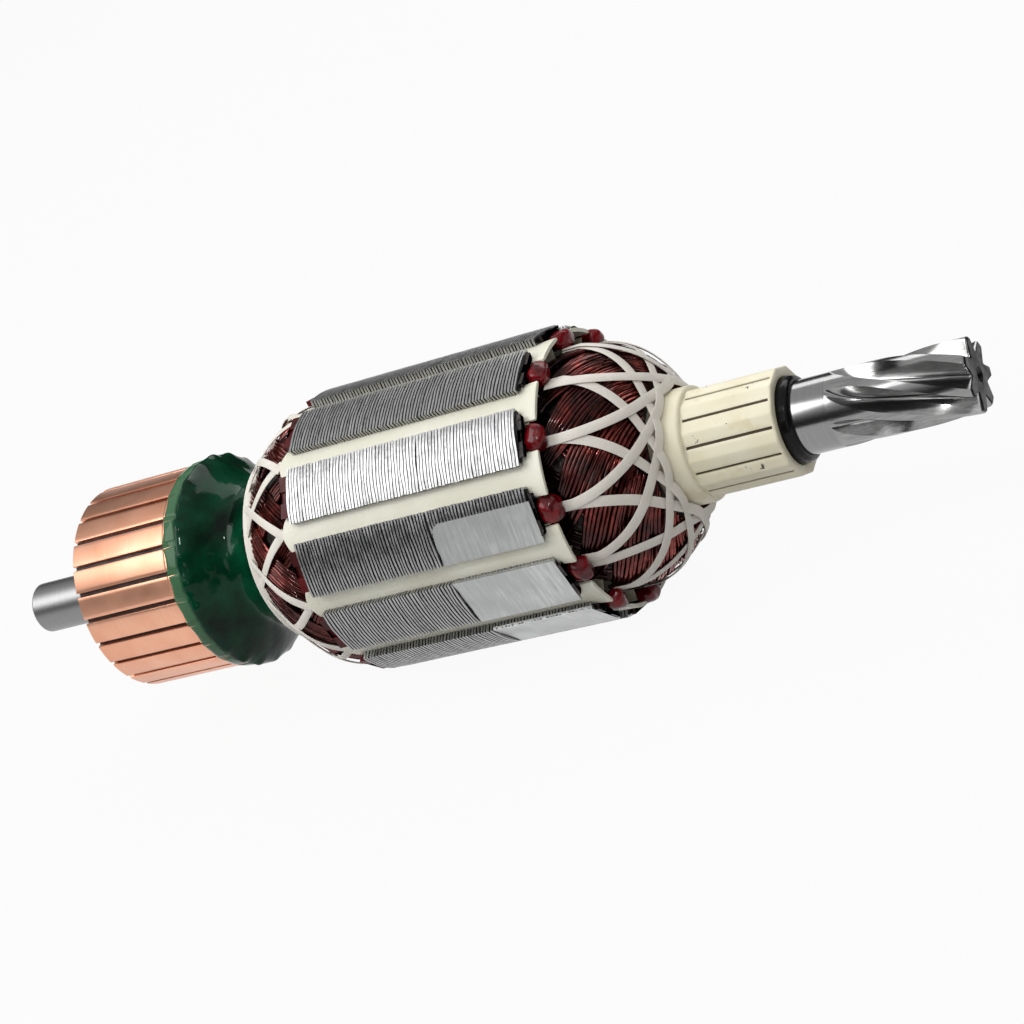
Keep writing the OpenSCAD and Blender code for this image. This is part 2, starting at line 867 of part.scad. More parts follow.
shaft();
shaft_insulation();
core();
end_insulator_commutator();
end_insulator_drive();
slot_liners();
for (i = [1:slots])
    slot_wedge(i - 1);
for (i = [1:slots])
    coil(i - 1);
for (i = [1:bars])
    commutator_bar(i - 1);
commutator_hub();
commutator_bush();
riser_resin();
lacing_commutator();
lacing_drive();
fan_sleeve();
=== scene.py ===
# %% [markdown]
# # A wound motor armature
# This lesson dresses the CAD model of a motor's turning part: a steel shaft that carries a
# copper commutator, a green resin neck, a laminated iron core with twelve slots, two wound
# ends bound with tape, a cream plastic sleeve and a seven-tooth pinion. The frame holds the
# true sizes, so every piece below takes its place from the frame's own boxes.

# %% Load the frame
import json
from math import acos, asin, cos, degrees, pi, radians, sin, sqrt, tan

import bmesh
import bpy
import numpy as np
from mathutils import Matrix, Vector

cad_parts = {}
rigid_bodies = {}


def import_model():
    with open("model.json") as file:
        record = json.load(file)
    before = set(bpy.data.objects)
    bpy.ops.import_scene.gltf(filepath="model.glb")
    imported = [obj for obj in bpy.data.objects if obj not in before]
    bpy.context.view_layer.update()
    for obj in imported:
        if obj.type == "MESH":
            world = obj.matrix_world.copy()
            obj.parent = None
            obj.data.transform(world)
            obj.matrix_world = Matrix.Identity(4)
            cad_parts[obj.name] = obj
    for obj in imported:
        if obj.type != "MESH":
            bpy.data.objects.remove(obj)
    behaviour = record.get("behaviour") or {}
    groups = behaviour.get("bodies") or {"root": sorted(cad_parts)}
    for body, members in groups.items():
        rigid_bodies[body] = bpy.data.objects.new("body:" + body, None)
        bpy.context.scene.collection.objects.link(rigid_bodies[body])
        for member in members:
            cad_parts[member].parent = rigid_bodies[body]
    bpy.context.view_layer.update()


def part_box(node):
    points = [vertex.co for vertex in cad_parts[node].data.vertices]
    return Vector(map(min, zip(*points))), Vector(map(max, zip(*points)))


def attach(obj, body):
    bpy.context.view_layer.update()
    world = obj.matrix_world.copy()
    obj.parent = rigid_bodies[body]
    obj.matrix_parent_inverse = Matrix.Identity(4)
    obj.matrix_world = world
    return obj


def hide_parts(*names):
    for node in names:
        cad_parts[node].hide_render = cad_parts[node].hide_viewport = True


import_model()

MM = 0.001

# %% [markdown]
# ## Stations along the shaft
# A turned machine part is easiest to think of as a row of stations along its axis. Each
# station here is read from the box of a CAD node, so the lesson still fits if the model is
# resized. X runs along the shaft, and a turn is measured from the top towards the viewer.

# %% Read the stations
def node_span(node):
    """Lowest and highest X of a CAD node, in millimetres."""
    low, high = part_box(node)
    return low[0] / MM, high[0] / MM


shaft_start, shaft_end = node_span("shaft")
bar_start, bar_end = node_span("commutator_bar_01")
core_start, core_end = node_span("core")
resin_end = node_span("riser_resin")[1]
sleeve_start, sleeve_end = node_span("fan_sleeve")
tube_start, tube_end = node_span("shaft_insulation")
bearing_seat_len = 8.4
pinion_start = sleeve_end + bearing_seat_len
slots = 12
pitch = 360 / slots
core_r = 27.0
print("core from", round(core_start, 1), "to", round(core_end, 1), "mm; pinion from", round(pinion_start, 1))

# %% [markdown]
# ## Small helpers for round parts
# Almost everything here is arranged about one axis. `at` turns a station, a radius and a
# turn into points. `make_piece` makes a tidy mesh object, with doubles merged and normals
# facing outwards. `lathe` spins a profile, and `loft` joins rings of points.

# %% Points about the axis
def at(x, r, turn):
    """Points from a station, a radius and a turn in degrees from the top."""
    x, r, a = np.broadcast_arrays(x, r, np.radians(turn))
    return np.stack([x, -r * np.sin(a), r * np.cos(a)], axis=-1)


def face_turn(y, z, turn):
    """Takes end-view points drawn at the top to another turn; gives their y and z."""
    a = radians(turn)
    return -z * sin(a) - y * cos(a), z * cos(a) - y * sin(a)


def grid_faces(rows, cols, first=0):
    """Quads between the rows of a grid of points, each row closed on itself."""
    starts = [first + j * cols for j in range(rows)]
    return [(a + i, a + (i + 1) % cols, b + (i + 1) % cols, b + i)
            for a, b in zip(starts, starts[1:]) for i in range(cols)]


# %% Make a mesh piece
merge_gap = 0.002 * MM


def link(name, data):
    """A new object with some data, put in the scene."""
    thing = bpy.data.objects.new(name, data)
    bpy.context.scene.collection.objects.link(thing)
    return thing


def finish_shading(mesh, sharp):
    """Smooth shading, with edges sharper than an angle kept crisp."""
    mesh.shade_smooth()
    mesh.set_sharp_from_angle(angle=radians(sharp))


def make_piece(name, points, faces, sharp=40):
    """A mesh object from points in millimetres, merged, facing outwards and smooth."""
    mesh = bpy.data.meshes.new(name)
    mesh.from_pydata((np.asarray(points, float) * MM).tolist(), [], faces)
    shape = bmesh.new()
    shape.from_mesh(mesh)
    bmesh.ops.remove_doubles(shape, verts=shape.verts, dist=merge_gap)
    bmesh.ops.recalc_face_normals(shape, faces=shape.faces)
    shape.to_mesh(mesh)
    shape.free()
    finish_shading(mesh, sharp)
    return link(name, mesh)


# %% Lathe and loft
def loft(name, rings, sharp=40, closed=False):
    """A solid through rings of points; closed joins the last ring to the first."""
    rings = np.asarray(rings, float)
    rows, cols = rings.shape[:2]
    faces = grid_faces(rows, cols)
    end = (rows - 1) * cols
    if closed:
        faces += [(end + i, end + (i + 1) % cols, (i + 1) % cols, i) for i in range(cols)]
    else:
        faces += [tuple(range(cols))[::-1], tuple(range(end, end + cols))]
    return make_piece(name, rings.reshape(-1, 3), faces, sharp)


def lathe(name, profile, steps=128, sharp=40, closed=False):
    """A profile of (x, radius) spun about the axis."""
    turns = np.arange(steps) * 360 / steps
    return loft(name, [at(x, max(r, 0.001), turns) for x, r in profile], sharp, closed)


def rounded(profile, radius, steps=4):
    """The same profile with its inner corners rounded."""
    points = [np.array(p, float) for p in profile]
    out = [points[0]]
    for before, corner, after in zip(points, points[1:], points[2:]):
        d0, d1 = before - corner, after - corner
        reach = min(radius, np.linalg.norm(d0) * 0.45, np.linalg.norm(d1) * 0.45)
        start = corner + d0 / np.linalg.norm(d0) * reach
        end = corner + d1 / np.linalg.norm(d1) * reach
        for t in np.linspace(0, 1, steps + 1):
            out.append((1 - t) ** 2 * start + 2 * t * (1 - t) * corner + t ** 2 * end)
    return out + [points[-1]]


# %% [markdown]
# ## Shader groups
# Several finishes share the same two effects: slow unevenness, and fine marks in one
# direction. Each is a noise in a node group with named inputs, so a material only says how
# much of it it wants. The shader itself always stays in the material.

# %% Node helpers
def add(tree, kind, inputs=None, **settings):
    """Adds a node with settings; its inputs are set or linked, by name or number."""
    made = tree.nodes.new(kind)
    for name, value in settings.items():
        setattr(made, name, value)
    for label, value in (inputs or {}).items():
        if isinstance(value, bpy.types.NodeSocket):
            tree.links.new(value, made.inputs[label])
        else:
            made.inputs[label].default_value = value
    return made


def math_node(tree, operation, a, b):
    """The result of a math node, in a shader tree or a geometry tree."""
    return add(tree, "ShaderNodeMath", {0: a, 1: b}, operation=operation).outputs[0]


def new_tree(kind, name, inputs, output):
    """A node group; each input is a name, a socket type and perhaps a default."""
    tree = bpy.data.node_groups.new(name, kind)
    for label, socket_type, *default in inputs:
        socket = tree.interface.new_socket(
            name=label, in_out="INPUT", socket_type="NodeSocket" + socket_type)
        if default:
            socket.default_value = default[0]
    tree.interface.new_socket(name=output[0], in_out="OUTPUT", socket_type="NodeSocket" + output[1])
    return tree, tree.nodes.new("NodeGroupInput").outputs, tree.nodes.new("NodeGroupOutput").inputs[0]


# %% Slow unevenness and fine lines
def effect_group(name, size, size_type, usual, detail, rough, trim):
    """A noise of a chosen size, spread over a range; trim cuts off its rare low and high ends."""
    tree, given, result = new_tree("ShaderNodeTree", name, [
        ("Vector", "Vector"), (size, size_type, usual), ("Low", "Float", 0.0), ("High", "Float", 1.0)],
        ("Value", "Float"))
    place, scale = given["Vector"], given[size]
    if size_type == "Vector":
        place = add(tree, "ShaderNodeVectorMath", {0: place, 1: scale}, operation="MULTIPLY").outputs[0]
        scale = 1.0
    noise = add(tree, "ShaderNodeTexNoise", {
        "Vector": place, "Scale": scale, "Detail": detail, "Roughness": rough}).outputs["Fac"]
    spread = add(tree, "ShaderNodeMapRange", {
        "Value": noise, "From Min": trim, "From Max": 1 - trim,
        "To Min": given["Low"], "To Max": given["High"]})
    tree.links.new(spread.outputs[0], result)
    return tree


unevenness = effect_group("unevenness", "Scale", "Float", 200.0, 4.0, 0.5, 0.35)
fine_lines = effect_group("fine_lines", "Across", "Vector", (6000.0, 60.0, 60.0), 3.0, 0.6, 0.3)
print("shader groups:", unevenness.name, fine_lines.name)

# %% [markdown]
# ## A recipe for materials
# Each finish below is written with the same few steps: a Principled shader with its plain
# numbers, a colour that wanders between two or three tones, a roughness that wanders, and a
# bump. `Finish` keeps those steps short, so the cells show the choices and not the wiring.

# %% The Finish helper
class Finish:
    """Builds one material round a Principled shader."""

    def __init__(self, name, **plain):
        self.material = bpy.data.materials.new(name)
        self.material.use_nodes = True
        self.tree = self.material.node_tree
        self.shader = self.tree.nodes["Principled BSDF"].inputs
        for label, value in plain.items():
            self.shader[label.replace("_", " ")].default_value = value
        self.place = add(self.tree, "ShaderNodeTexCoord").outputs["Object"]

    def effect(self, group, inputs):
        """Places a shared group and returns its value."""
        inputs = {"Vector": self.place, **inputs}
        return add(self.tree, "ShaderNodeGroup", inputs, node_tree=group).outputs["Value"]

    def uneven(self, scale, low=0.0, high=1.0):
        """Slow unevenness between two values; a larger scale is a finer grain."""
        return self.effect(unevenness, {"Scale": scale, "Low": low, "High": high})

    def lines(self, *across):
        """Fine lines, from how fast they change along X, Y and Z."""
        return self.effect(fine_lines, {"Across": across})

    def along(self, from_mm, to_mm):
        """A mask that goes from 0 to 1 between two stations of the shaft."""
        x = add(self.tree, "ShaderNodeSeparateXYZ", {0: self.place}).outputs["X"]
        return add(self.tree, "ShaderNodeMapRange", {
            "Value": x, "From Min": from_mm * MM, "From Max": to_mm * MM}).outputs[0]

    def painted(self, name):
        """A value that is painted on the piece itself."""
        return add(self.tree, "ShaderNodeAttribute", attribute_name=name).outputs["Fac"]

    def blend(self, mask, first, second):
        """Goes from the first tone to the second; a tone is a grey, a colour or a socket."""
        inputs = {"Factor": mask}
        for number, tone in ((6, first), (7, second)):
            tone = (tone, tone, tone) if isinstance(tone, float) else tone
            inputs[number] = (*tone, 1.0) if isinstance(tone, tuple) else tone
        return add(self.tree, "ShaderNodeMix", inputs, data_type="RGBA").outputs[2]

    def feed(self, label, value):
        """Links a value to an input of the shader."""
        self.tree.links.new(value, self.shader[label])

    def colour(self, mask, first, second):
        self.feed("Base Color", self.blend(mask, first, second))

    def rough(self, scale, low, high):
        self.feed("Roughness", self.uneven(scale, low, high))

    def wear(self, marks, first, second, rough, depth_mm):
        """One pattern for the colour and the bump, with an uneven roughness."""
        self.colour(marks, first, second)
        self.rough(*rough)
        self.bump(marks, depth_mm)
        return self.material

    def bump(self, height, depth_mm):
        """Raises the surface by so many millimetres, on top of earlier bumps."""
        inputs = {"Height": height, "Distance": depth_mm * MM, "Strength": 1.0}
        if self.shader["Normal"].is_linked:
            inputs["Normal"] = self.shader["Normal"].links[0].from_socket
        self.feed("Normal", add(self.tree, "ShaderNodeBump", inputs).outputs["Normal"])


# %% [markdown]
# ## Metals
# The shaft is ground steel with fine marks round it. The lamination edges are dull steel,
# each sheet a little lighter or darker than its neighbour. The commutator is turned copper,
# which shows a warm, slightly cloudy shine. All of them get their marks from `fine_lines`.

# %% Shaft steel
def make_shaft_steel():
    """Dull on the journal, polished towards the drive end."""
    finish = Finish("shaft_steel", Metallic=1.0)
    marks = finish.lines(9000.0, 90.0, 90.0)
    finish.colour(marks, 0.25, 0.29)
    finish.feed("Roughness", finish.blend(finish.along(0.0, 100.0), 0.36, 0.17))
    finish.bump(marks, 0.001)
    finish.bump(finish.uneven(90.0), 0.008)
    return finish.material


# %% Pinion steel
def make_pinion_steel():
    finish = Finish("pinion_steel", Metallic=1.0)
    marks = finish.lines(250.0, 2200.0, 2200.0)
    return finish.wear(marks, 0.24, (0.34, 0.34, 0.335), (160.0, 0.14, 0.20), 0.003)


# %% Dark end steel and painted gap shade
def make_dark_end_and_gap_shade():
    finish = Finish("cut_end_steel", Metallic=1.0)
    return finish.wear(finish.uneven(900.0), 0.008, 0.045, (300.0, 0.35, 0.55), 0.02)


# %% Lamination steel
def make_lamination_steel():
    finish = Finish("lamination_steel", Metallic=0.9)
    sheet_tone = finish.lines(1500.0, 150.0, 150.0)
    tone = finish.blend(sheet_tone, 0.18, 0.50)
    return finish.wear(finish.uneven(1400.0), tone, 0.40, (500.0, 0.28, 0.42), 0.008)


# %% Ground steel on the balance cuts
def make_ground_steel():
    finish = Finish("ground_steel", Metallic=0.9)
    marks = finish.lines(2600.0, 50.0, 200.0)
    tone = finish.blend(finish.uneven(140.0), (0.42, 0.43, 0.42), (0.60, 0.61, 0.60))
    return finish.wear(marks, tone, (0.40, 0.41, 0.41), (200.0, 0.30, 0.40), 0.008)


# %% Commutator copper
def make_copper():
    finish = Finish("commutator_copper", Metallic=1.0)
    marks = finish.lines(7000.0, 110.0, 110.0)
    tone = finish.blend(finish.uneven(120.0), (0.76, 0.34, 0.21), (0.93, 0.52, 0.36))
    return finish.wear(marks, tone, (0.85, 0.43, 0.28), (200.0, 0.34, 0.39), 0.002)


# %% Bush steel
def make_bush_steel():
    finish = Finish("bush_steel", Metallic=1.0)
    marks = finish.lines(5000.0, 90.0, 90.0)
    return finish.wear(marks, (0.30, 0.29, 0.27), (0.46, 0.45, 0.42), (300.0, 0.35, 0.5), 0.008)


# %% [markdown]
# ## Resins, plastics and tape
# Electrical parts mix glossy dipped coatings with dull mouldings. The green neck and the
# red lumps are dipped resin: a dark base under a clear coat. The wedges and the sleeve are
# cream plastic. The lacing is a flat woven tape, so it gets a fine weave and no gloss.

# %% Green resin
def make_green_resin():
    finish = Finish("green_resin", Coat_Weight=0.16, Coat_Roughness=0.02, Specular_IOR_Level=0.06)
    deep = finish.blend(finish.uneven(110.0), (0.0004, 0.006, 0.003), (0.0020, 0.062, 0.027))
    finish.colour(finish.painted("thin_edge"), deep, (0.055, 0.135, 0.068))
    finish.rough(90.0, 0.04, 0.10)
    finish.bump(finish.uneven(150.0), 0.07)
    return finish.material


# %% Red insulator
def make_red_insulator():
    """Glossy red varnish on the lugs."""
    finish = Finish("red_insulator", Coat_Weight=0.30, Coat_Roughness=0.03, Specular_IOR_Level=0.15)
    finish.colour(finish.uneven(350.0), (0.040, 0.0008, 0.0015), (0.22, 0.003, 0.008))
    finish.rough(300.0, 0.18, 0.30)
    finish.bump(finish.uneven(500.0), 0.10)
    return finish.material


def make_red_plate():
    """The dull moulding of the end plates."""
    finish = Finish("red_plate", Specular_IOR_Level=0.2)
    cloud = finish.uneven(250.0)
    return finish.wear(cloud, (0.025, 0.002, 0.002), (0.11, 0.006, 0.008), (300.0, 0.35, 0.5), 0.05)


# %% Enamelled wire
def make_wire_enamel(name, full_shade_at, shade_gone_at):
    """Red enamelled wire, with painted shade that makes it nearly black where it dives towards the core."""
    finish = Finish(name, Metallic=0.8, Coat_Weight=0.35, Coat_Roughness=0.06,
                    Specular_Tint=(0.75, 0.40, 0.35, 1.0))
    tone = finish.blend(finish.uneven(140.0, -0.5, 1.1), (0.008, 0.002, 0.002), (0.26, 0.040, 0.032))
    tone = finish.blend(finish.uneven(900.0), tone, (0.070, 0.011, 0.008))
    # Painted shade: the wire turns nearly black near the core and clears between the two stations.
    finish.colour(finish.along(full_shade_at, shade_gone_at), (0.012, 0.003, 0.003), tone)
    finish.rough(400.0, 0.12, 0.26)
    return finish.material


# %% Coil body in painted shade
def make_coil_shadow():
    finish = Finish("coil_shadow")
    cloud = finish.uneven(500.0)
    return finish.wear(cloud, (0.004, 0.002, 0.002), (0.016, 0.005, 0.004), (400.0, 0.35, 0.6), 0.3)


# %% Cream wedge
def make_wedge_cream():
    finish = Finish("slot_wedge", Coat_Weight=0.15, Coat_Roughness=0.3)
    cloud = finish.uneven(110.0)
    finish.colour(cloud, (0.75, 0.73, 0.60), (0.82, 0.81, 0.69))
    finish.rough(300.0, 0.38, 0.55)
    finish.bump(finish.uneven(1500.0), 0.015)
    finish.bump(cloud, 0.05)
    return finish.material


# %% Slot paper
def make_slot_paper():
    finish = Finish("slot_liner")
    fibre = finish.uneven(2200.0)
    return finish.wear(fibre, (0.70, 0.66, 0.50), (0.80, 0.77, 0.62), (500.0, 0.6, 0.8), 0.02)


# %% Sleeve plastic
def make_sleeve_plastic():
    """Cream plastic with faint stains, a few dark specks and painted shade in its grooves."""
    finish = Finish("sleeve_plastic", Coat_Weight=0.1, Coat_Roughness=0.35)
    cloud = finish.uneven(140.0)
    tone = finish.blend(cloud, (0.77, 0.71, 0.52), (0.82, 0.77, 0.59))
    tone = finish.blend(finish.uneven(160.0, -1.8, 0.6), tone, (0.70, 0.60, 0.38))
    dark = finish.blend(finish.uneven(210.0, -12.0), tone, (0.05, 0.03, 0.02))
    tone = finish.blend(finish.uneven(800.0, -9.0), tone, dark)
    # Painted shade: the floors of the grooves are coloured dark brown.
    finish.colour(finish.painted("groove"), tone, (0.10, 0.065, 0.035))
    finish.rough(260.0, 0.36, 0.5)
    finish.bump(finish.uneven(900.0), 0.02)
    finish.bump(cloud, 0.06)
    return finish.material


# %% Lacing tape
def make_lacing_tape():
    finish = Finish("lacing_tape", Sheen_Weight=0.25)
    weave = finish.lines(2600.0, 2600.0, 2600.0)
    tone = finish.blend(finish.uneven(180.0), (0.70, 0.66, 0.58), (0.82, 0.78, 0.71))
    return finish.wear(weave, tone, (0.75, 0.71, 0.64), (400.0, 0.45, 0.62), 0.03)


# %% Black tube and moulded hub
def make_black_tube():
    finish = Finish("black_insulation", Coat_Weight=0.06, Coat_Roughness=0.10, Specular_IOR_Level=0.12)
    return finish.wear(finish.uneven(300.0), 0.003, 0.008, (250.0, 0.15, 0.3), 0.08)


def make_moulded_hub():
    finish = Finish("moulded_hub")
    grain = finish.uneven(1600.0)
    return finish.wear(grain, (0.010, 0.003, 0.003), (0.030, 0.009, 0.007), (400.0, 0.45, 0.65), 0.03)


# %% Make all the finishes
finishes = {
    "shaft_steel": make_shaft_steel(), "pinion_steel": make_pinion_steel(),
    "cut_end_steel": make_dark_end_and_gap_shade(), "lamination_steel": make_lamination_steel(),
    "ground_steel": make_ground_steel(), "copper": make_copper(), "bush_steel": make_bush_steel(),
    "green_resin": make_green_resin(), "red_insulator": make_red_insulator(), "red_plate": make_red_plate(),
    "wire_drive": make_wire_enamel("enamelled_wire", core_end + 3.5, core_end + 7.0),
    "wire_neck": make_wire_enamel("enamelled_wire_neck", core_start - 1.0, core_start - 3.5),
    "coil_shadow": make_coil_shadow(), "wedge": make_wedge_cream(), "paper": make_slot_paper(),
    "sleeve": make_sleeve_plastic(), "tape": make_lacing_tape(), "black_tube": make_black_tube(),
    "hub": make_moulded_hub(),
}
print(len(finishes), "finishes made")


# %% Dress a piece
def dress(piece, finish, slot_name, *nodes):
    """Gives a piece its material and body, and hides the CAD nodes that it stands for; slot_name is not used.
    """
    if finish:
        piece.data.materials.clear()
        piece.data.materials.append(finishes[finish])
    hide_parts(*nodes)
    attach(piece, "root")
    piece.data.calc_loop_triangles()
    print(piece.name, len(piece.data.loop_triangles), "triangles")


# %% [markdown]
# ## Geometry Nodes: copies round the axis
# Twelve slots, twenty-four bars and twelve tapes repeat about the shaft. Instead of copying
# by hand, one tree takes a single model and turns it round the X axis a chosen number of
# times. A small random turn and a little noise keep hand-made parts from looking stamped.

# %% What both trees share
shared_inputs = [
    ("Geometry", "Geometry"), ("Count", "Int"), ("Loose turn", "Float"), ("Wobble", "Vector"),
    ("Wobble scale", "Vector"), ("Seed", "Int"), ("Material", "Material")]


def loose_turn(tree, given):
    """A small random turn, either way."""
    most = given["Loose turn"]
    least = math_node(tree, "MULTIPLY", most, -1.0)
    return add(tree, "FunctionNodeRandomValue", {2: least, 3: most, "Seed": given["Seed"]}).outputs[1]


def wobble(tree, given, geometry):
    """Moves points by a seeded noise of a chosen size and reach."""
    def vector_math(operation, a, b):
        return add(tree, "ShaderNodeVectorMath", {0: a, 1: b}, operation=operation).outputs[0]

    place = add(tree, "GeometryNodeInputPosition").outputs[0]
    noise = add(tree, "ShaderNodeTexNoise", {
        "Vector": vector_math("MULTIPLY", place, given["Wobble scale"]), "W": given["Seed"],
        "Detail": 1.0, "Scale": 1.0}, noise_dimensions="4D")
    centred = vector_math("SUBTRACT", noise.outputs["Color"], (0.5, 0.5, 0.5))
    offset = vector_math("MULTIPLY", centred, given["Wobble"])
    return add(tree, "GeometryNodeSetPosition", {"Geometry": geometry, "Offset": offset}).outputs[0]


def copy_to_points(tree, given, points, turn, result):
    """Puts a turned copy on each point, makes the copies real, wobbles them and paints them."""
    turned = add(tree, "ShaderNodeCombineXYZ", {"X": turn}).outputs[0]
    copies = add(tree, "GeometryNodeInstanceOnPoints", {
        "Points": points, "Instance": given["Geometry"], "Rotation": turned})
    solid = add(tree, "GeometryNodeRealizeInstances", {"Geometry": copies.outputs[0]})
    moved = wobble(tree, given, solid.outputs[0])
    painted = add(tree, "GeometryNodeSetMaterial", {"Geometry": moved, "Material": given["Material"]})
    tree.links.new(painted.outputs[0], result)
    return tree


# %% The ring of copies
def ring_tree():
    tree, given, result = new_tree("GeometryNodeTree", "ring_of_copies",
                                   shared_inputs + [("First turn", "Float")], ("Geometry", "Geometry"))
    points = add(tree, "GeometryNodePoints", {"Count": given["Count"]}).outputs[0]
    index = add(tree, "GeometryNodeInputIndex").outputs[0]
    step = math_node(tree, "DIVIDE", 2 * pi, given["Count"])
    turn = math_node(tree, "ADD", math_node(tree, "MULTIPLY", index, step), given["First turn"])
    turn = math_node(tree, "ADD", turn, loose_turn(tree, given))
    return copy_to_points(tree, given, points, turn, result)


ring_of_copies = ring_tree()


# %% Run a tree and keep its mesh
def plain_mesh(thing, keep_layers=False):
    """The mesh of an object with its modifiers or its profile carried out."""
    graph = bpy.context.evaluated_depsgraph_get()
    return bpy.data.meshes.new_from_object(
        thing.evaluated_get(graph), preserve_all_data_layers=keep_layers, depsgraph=graph)


def run_tree(piece, tree, settings, sharp):
    """Adds the tree to a piece, sets its inputs by identifier, and keeps the plain mesh."""
    modifier = piece.modifiers.new(tree.name, "NODES")
    modifier.node_group = tree
    sockets = {s.name: s.identifier for s in tree.interface.items_tree if s.in_out == "INPUT"}
    for label, value in settings.items():
        modifier[sockets[label]] = value
    old, piece_mesh = piece.data, plain_mesh(piece, True)
    piece.modifiers.clear()
    piece.data = piece_mesh
    piece_mesh.name = piece.name
    finish_shading(piece_mesh, sharp)
    bpy.data.meshes.remove(old)


def copy_round(piece, count, finish, seed, sharp, first=0.0, loose=0.0, wobble_mm=(0, 0, 0), wobble_size=5.0):
    """Turns one model into a ring of copies; sizes in millimetres and degrees."""
    run_tree(piece, ring_of_copies, {
        "Count": count, "First turn": radians(first), "Loose turn": radians(loose),
        "Wobble": tuple(2 * v * MM for v in wobble_mm), "Wobble scale": (1 / (wobble_size * MM),) * 3,
        "Seed": seed, "Material": finishes[finish]}, sharp)
    return piece

# %% [markdown]
# ## The shaft and its pinion
# The shaft is one bar of steel: a ground journal at the commutator end, a middle hidden by
# the insulating tube, a seat for the bearing, and seven helical teeth cut into its end. The
# teeth are a loft: one outline per station, each turned a little further than the last. The
# cutter leaves on a curve, so the gaps rise to the surface at the run-out.

# %% Pinion sizes
teeth = 7
tooth_depth = 2.7
land_half = 6.5
cutter_r = 16.0
first_gap_turn = 36.0
flank_power = 1.8
journal_r, middle_r, seat_r = 5.0, 6.3, 6.6
helix_angle = 20
twist_per_mm = degrees(tan(radians(helix_angle)) / seat_r)
run_out = sqrt(2 * cutter_r * tooth_depth - tooth_depth ** 2)
end_chamfer = 0.5
centre_hole = ((0, 1.5), (0.1, 1.35), (1.8, 0.05))
print("run-out of the cutter:", round(run_out, 1), "mm; twist:", round(twist_per_mm, 2), "degrees per mm")


# %% One station of the pinion
def pinion_ring(x, shrink=1.0, gap_steps=9, land_steps=5):
    """The toothed outline at a station."""
    short = max(0.0, run_out - (x - pinion_start))
    lift = min(cutter_r - sqrt(cutter_r ** 2 - short ** 2), tooth_depth)
    gap_half = 180 / teeth - land_half
    leave = 1 - ((tooth_depth - lift) / tooth_depth) ** (1 / flank_power)
    edge = land_half + gap_half * leave
    t = 1 - (1 - leave) * np.linspace(0, 1, gap_steps)
    gap_turn = land_half + gap_half * t
    gap_r = np.minimum(seat_r, seat_r - tooth_depth + lift + tooth_depth * (1 - t) ** flank_power)
    land = np.linspace(-edge, edge, land_steps + 2)[1:-1]
    turns = np.concatenate([-gap_turn, land, gap_turn[::-1][:-1]])
    radii = np.concatenate([gap_r, np.full(land.shape, seat_r), gap_r[::-1][:-1]])
    starts = (np.arange(teeth) + 0.5) * 360 / teeth + first_gap_turn + twist_per_mm * (x - pinion_start)
    return at(x, np.tile(radii, teeth) * shrink, (starts[:, None] + turns).ravel())


# %% Build the pinion
def make_pinion():
    """The toothed end, with a chamfer and a small centre hole in its face."""
    toothed = shaft_end - end_chamfer - pinion_start
    rings = [pinion_ring(x) for x in pinion_start + toothed * np.linspace(0, 1, 120) ** 1.15]
    rings += [pinion_ring(shaft_end - end_chamfer * 0.5, 0.975), pinion_ring(shaft_end, 0.925)]
    face = rings[-1][:, 1:]
    for depth, r in centre_hole:
        k = r / np.linalg.norm(face, axis=1)
        rings.append(np.column_stack([np.full(len(face), shaft_end - depth), face * k[:, None]]))
    return loft("pinion", rings, sharp=32)


def paint_cut_end(piece):
    """Gives the end face a near-black steel, which in its centre hole is painted shade."""
    mesh = piece.data
    for finish in ("pinion_steel", "cut_end_steel"):
        mesh.materials.append(finishes[finish])
    for face in mesh.polygons:
        on_face = face.center.x > (shaft_end - end_chamfer * 0.6) * MM
        in_hole = face.center.x > (shaft_end - 2.0) * MM and face.center.yz.length < 1.6 * MM
        face.material_index = int(on_face or in_hole)


pinion = make_pinion()
paint_cut_end(pinion)
dress(pinion, None, "shaft_steel", "shaft")


# %% Build the plain shaft
def make_shaft():
    hole, bite = 1.1, 0.02
    profile = [(shaft_start + 1.9, 0.01), (shaft_start + 0.1, hole), (shaft_start, hole + 0.1),
               (shaft_start, journal_r - 0.6), (shaft_start + 0.6, journal_r), (-0.01, journal_r),
               (0, middle_r), (tube_end - 1, middle_r), (tube_end - 0.9, seat_r),
               (pinion_start + bite, seat_r)]
    return lathe("plain_shaft", rounded(profile, 0.15) + [(pinion_start + bite, 0.01)], sharp=30)


dress(make_shaft(), "shaft_steel", "shaft_steel", "shaft")

# %% [markdown]
# ## The insulating tube
# A black tube keeps the windings' side away from the shaft. Only its end shows, a glossy
# ring with a rounded lip that stands a little out of the mouth of the cream sleeve.

# %% Build the tube
def make_tube():
    inner, outer, tip, lip = seat_r + 0.03, 7.72, sleeve_end + 2.1, 1.0
    quarter = np.radians(np.arange(0, 91, 15))
    curve = [(tip - lip + lip * sin(a), outer - lip + lip * cos(a)) for a in quarter]
    profile = [(tube_start, inner), (tube_start, outer)] + curve + [(tip, inner + 0.03), (tip - 0.2, inner)]
    return lathe("insulating_tube", profile, 96, closed=True)


dress(make_tube(), "black_tube", "black_insulation", "shaft_insulation")

# %% [markdown]
# ## The laminated core
# The core is a stack of thin steel sheets, each a wheel with twelve T-shaped teeth. From
# outside you see their edges as fine, slightly wavy lines. One sheet is drawn once as a
# thin solid and Geometry Nodes stack it along the shaft with a gap after each sheet. A
# seeded noise bends the sheets a little, which is what makes the lines look real.

# %% Outline of one tooth
stem_half = 2.4
tip_t = 1.5
tip_slope = 0.35
slot_half = 1.82
cap_low_r = 22.6
cut_depth = 0.5
cut_start = core_end - 20.4
cut_turns = {2: 80.5, 3: 105.0, 4: 135.0}


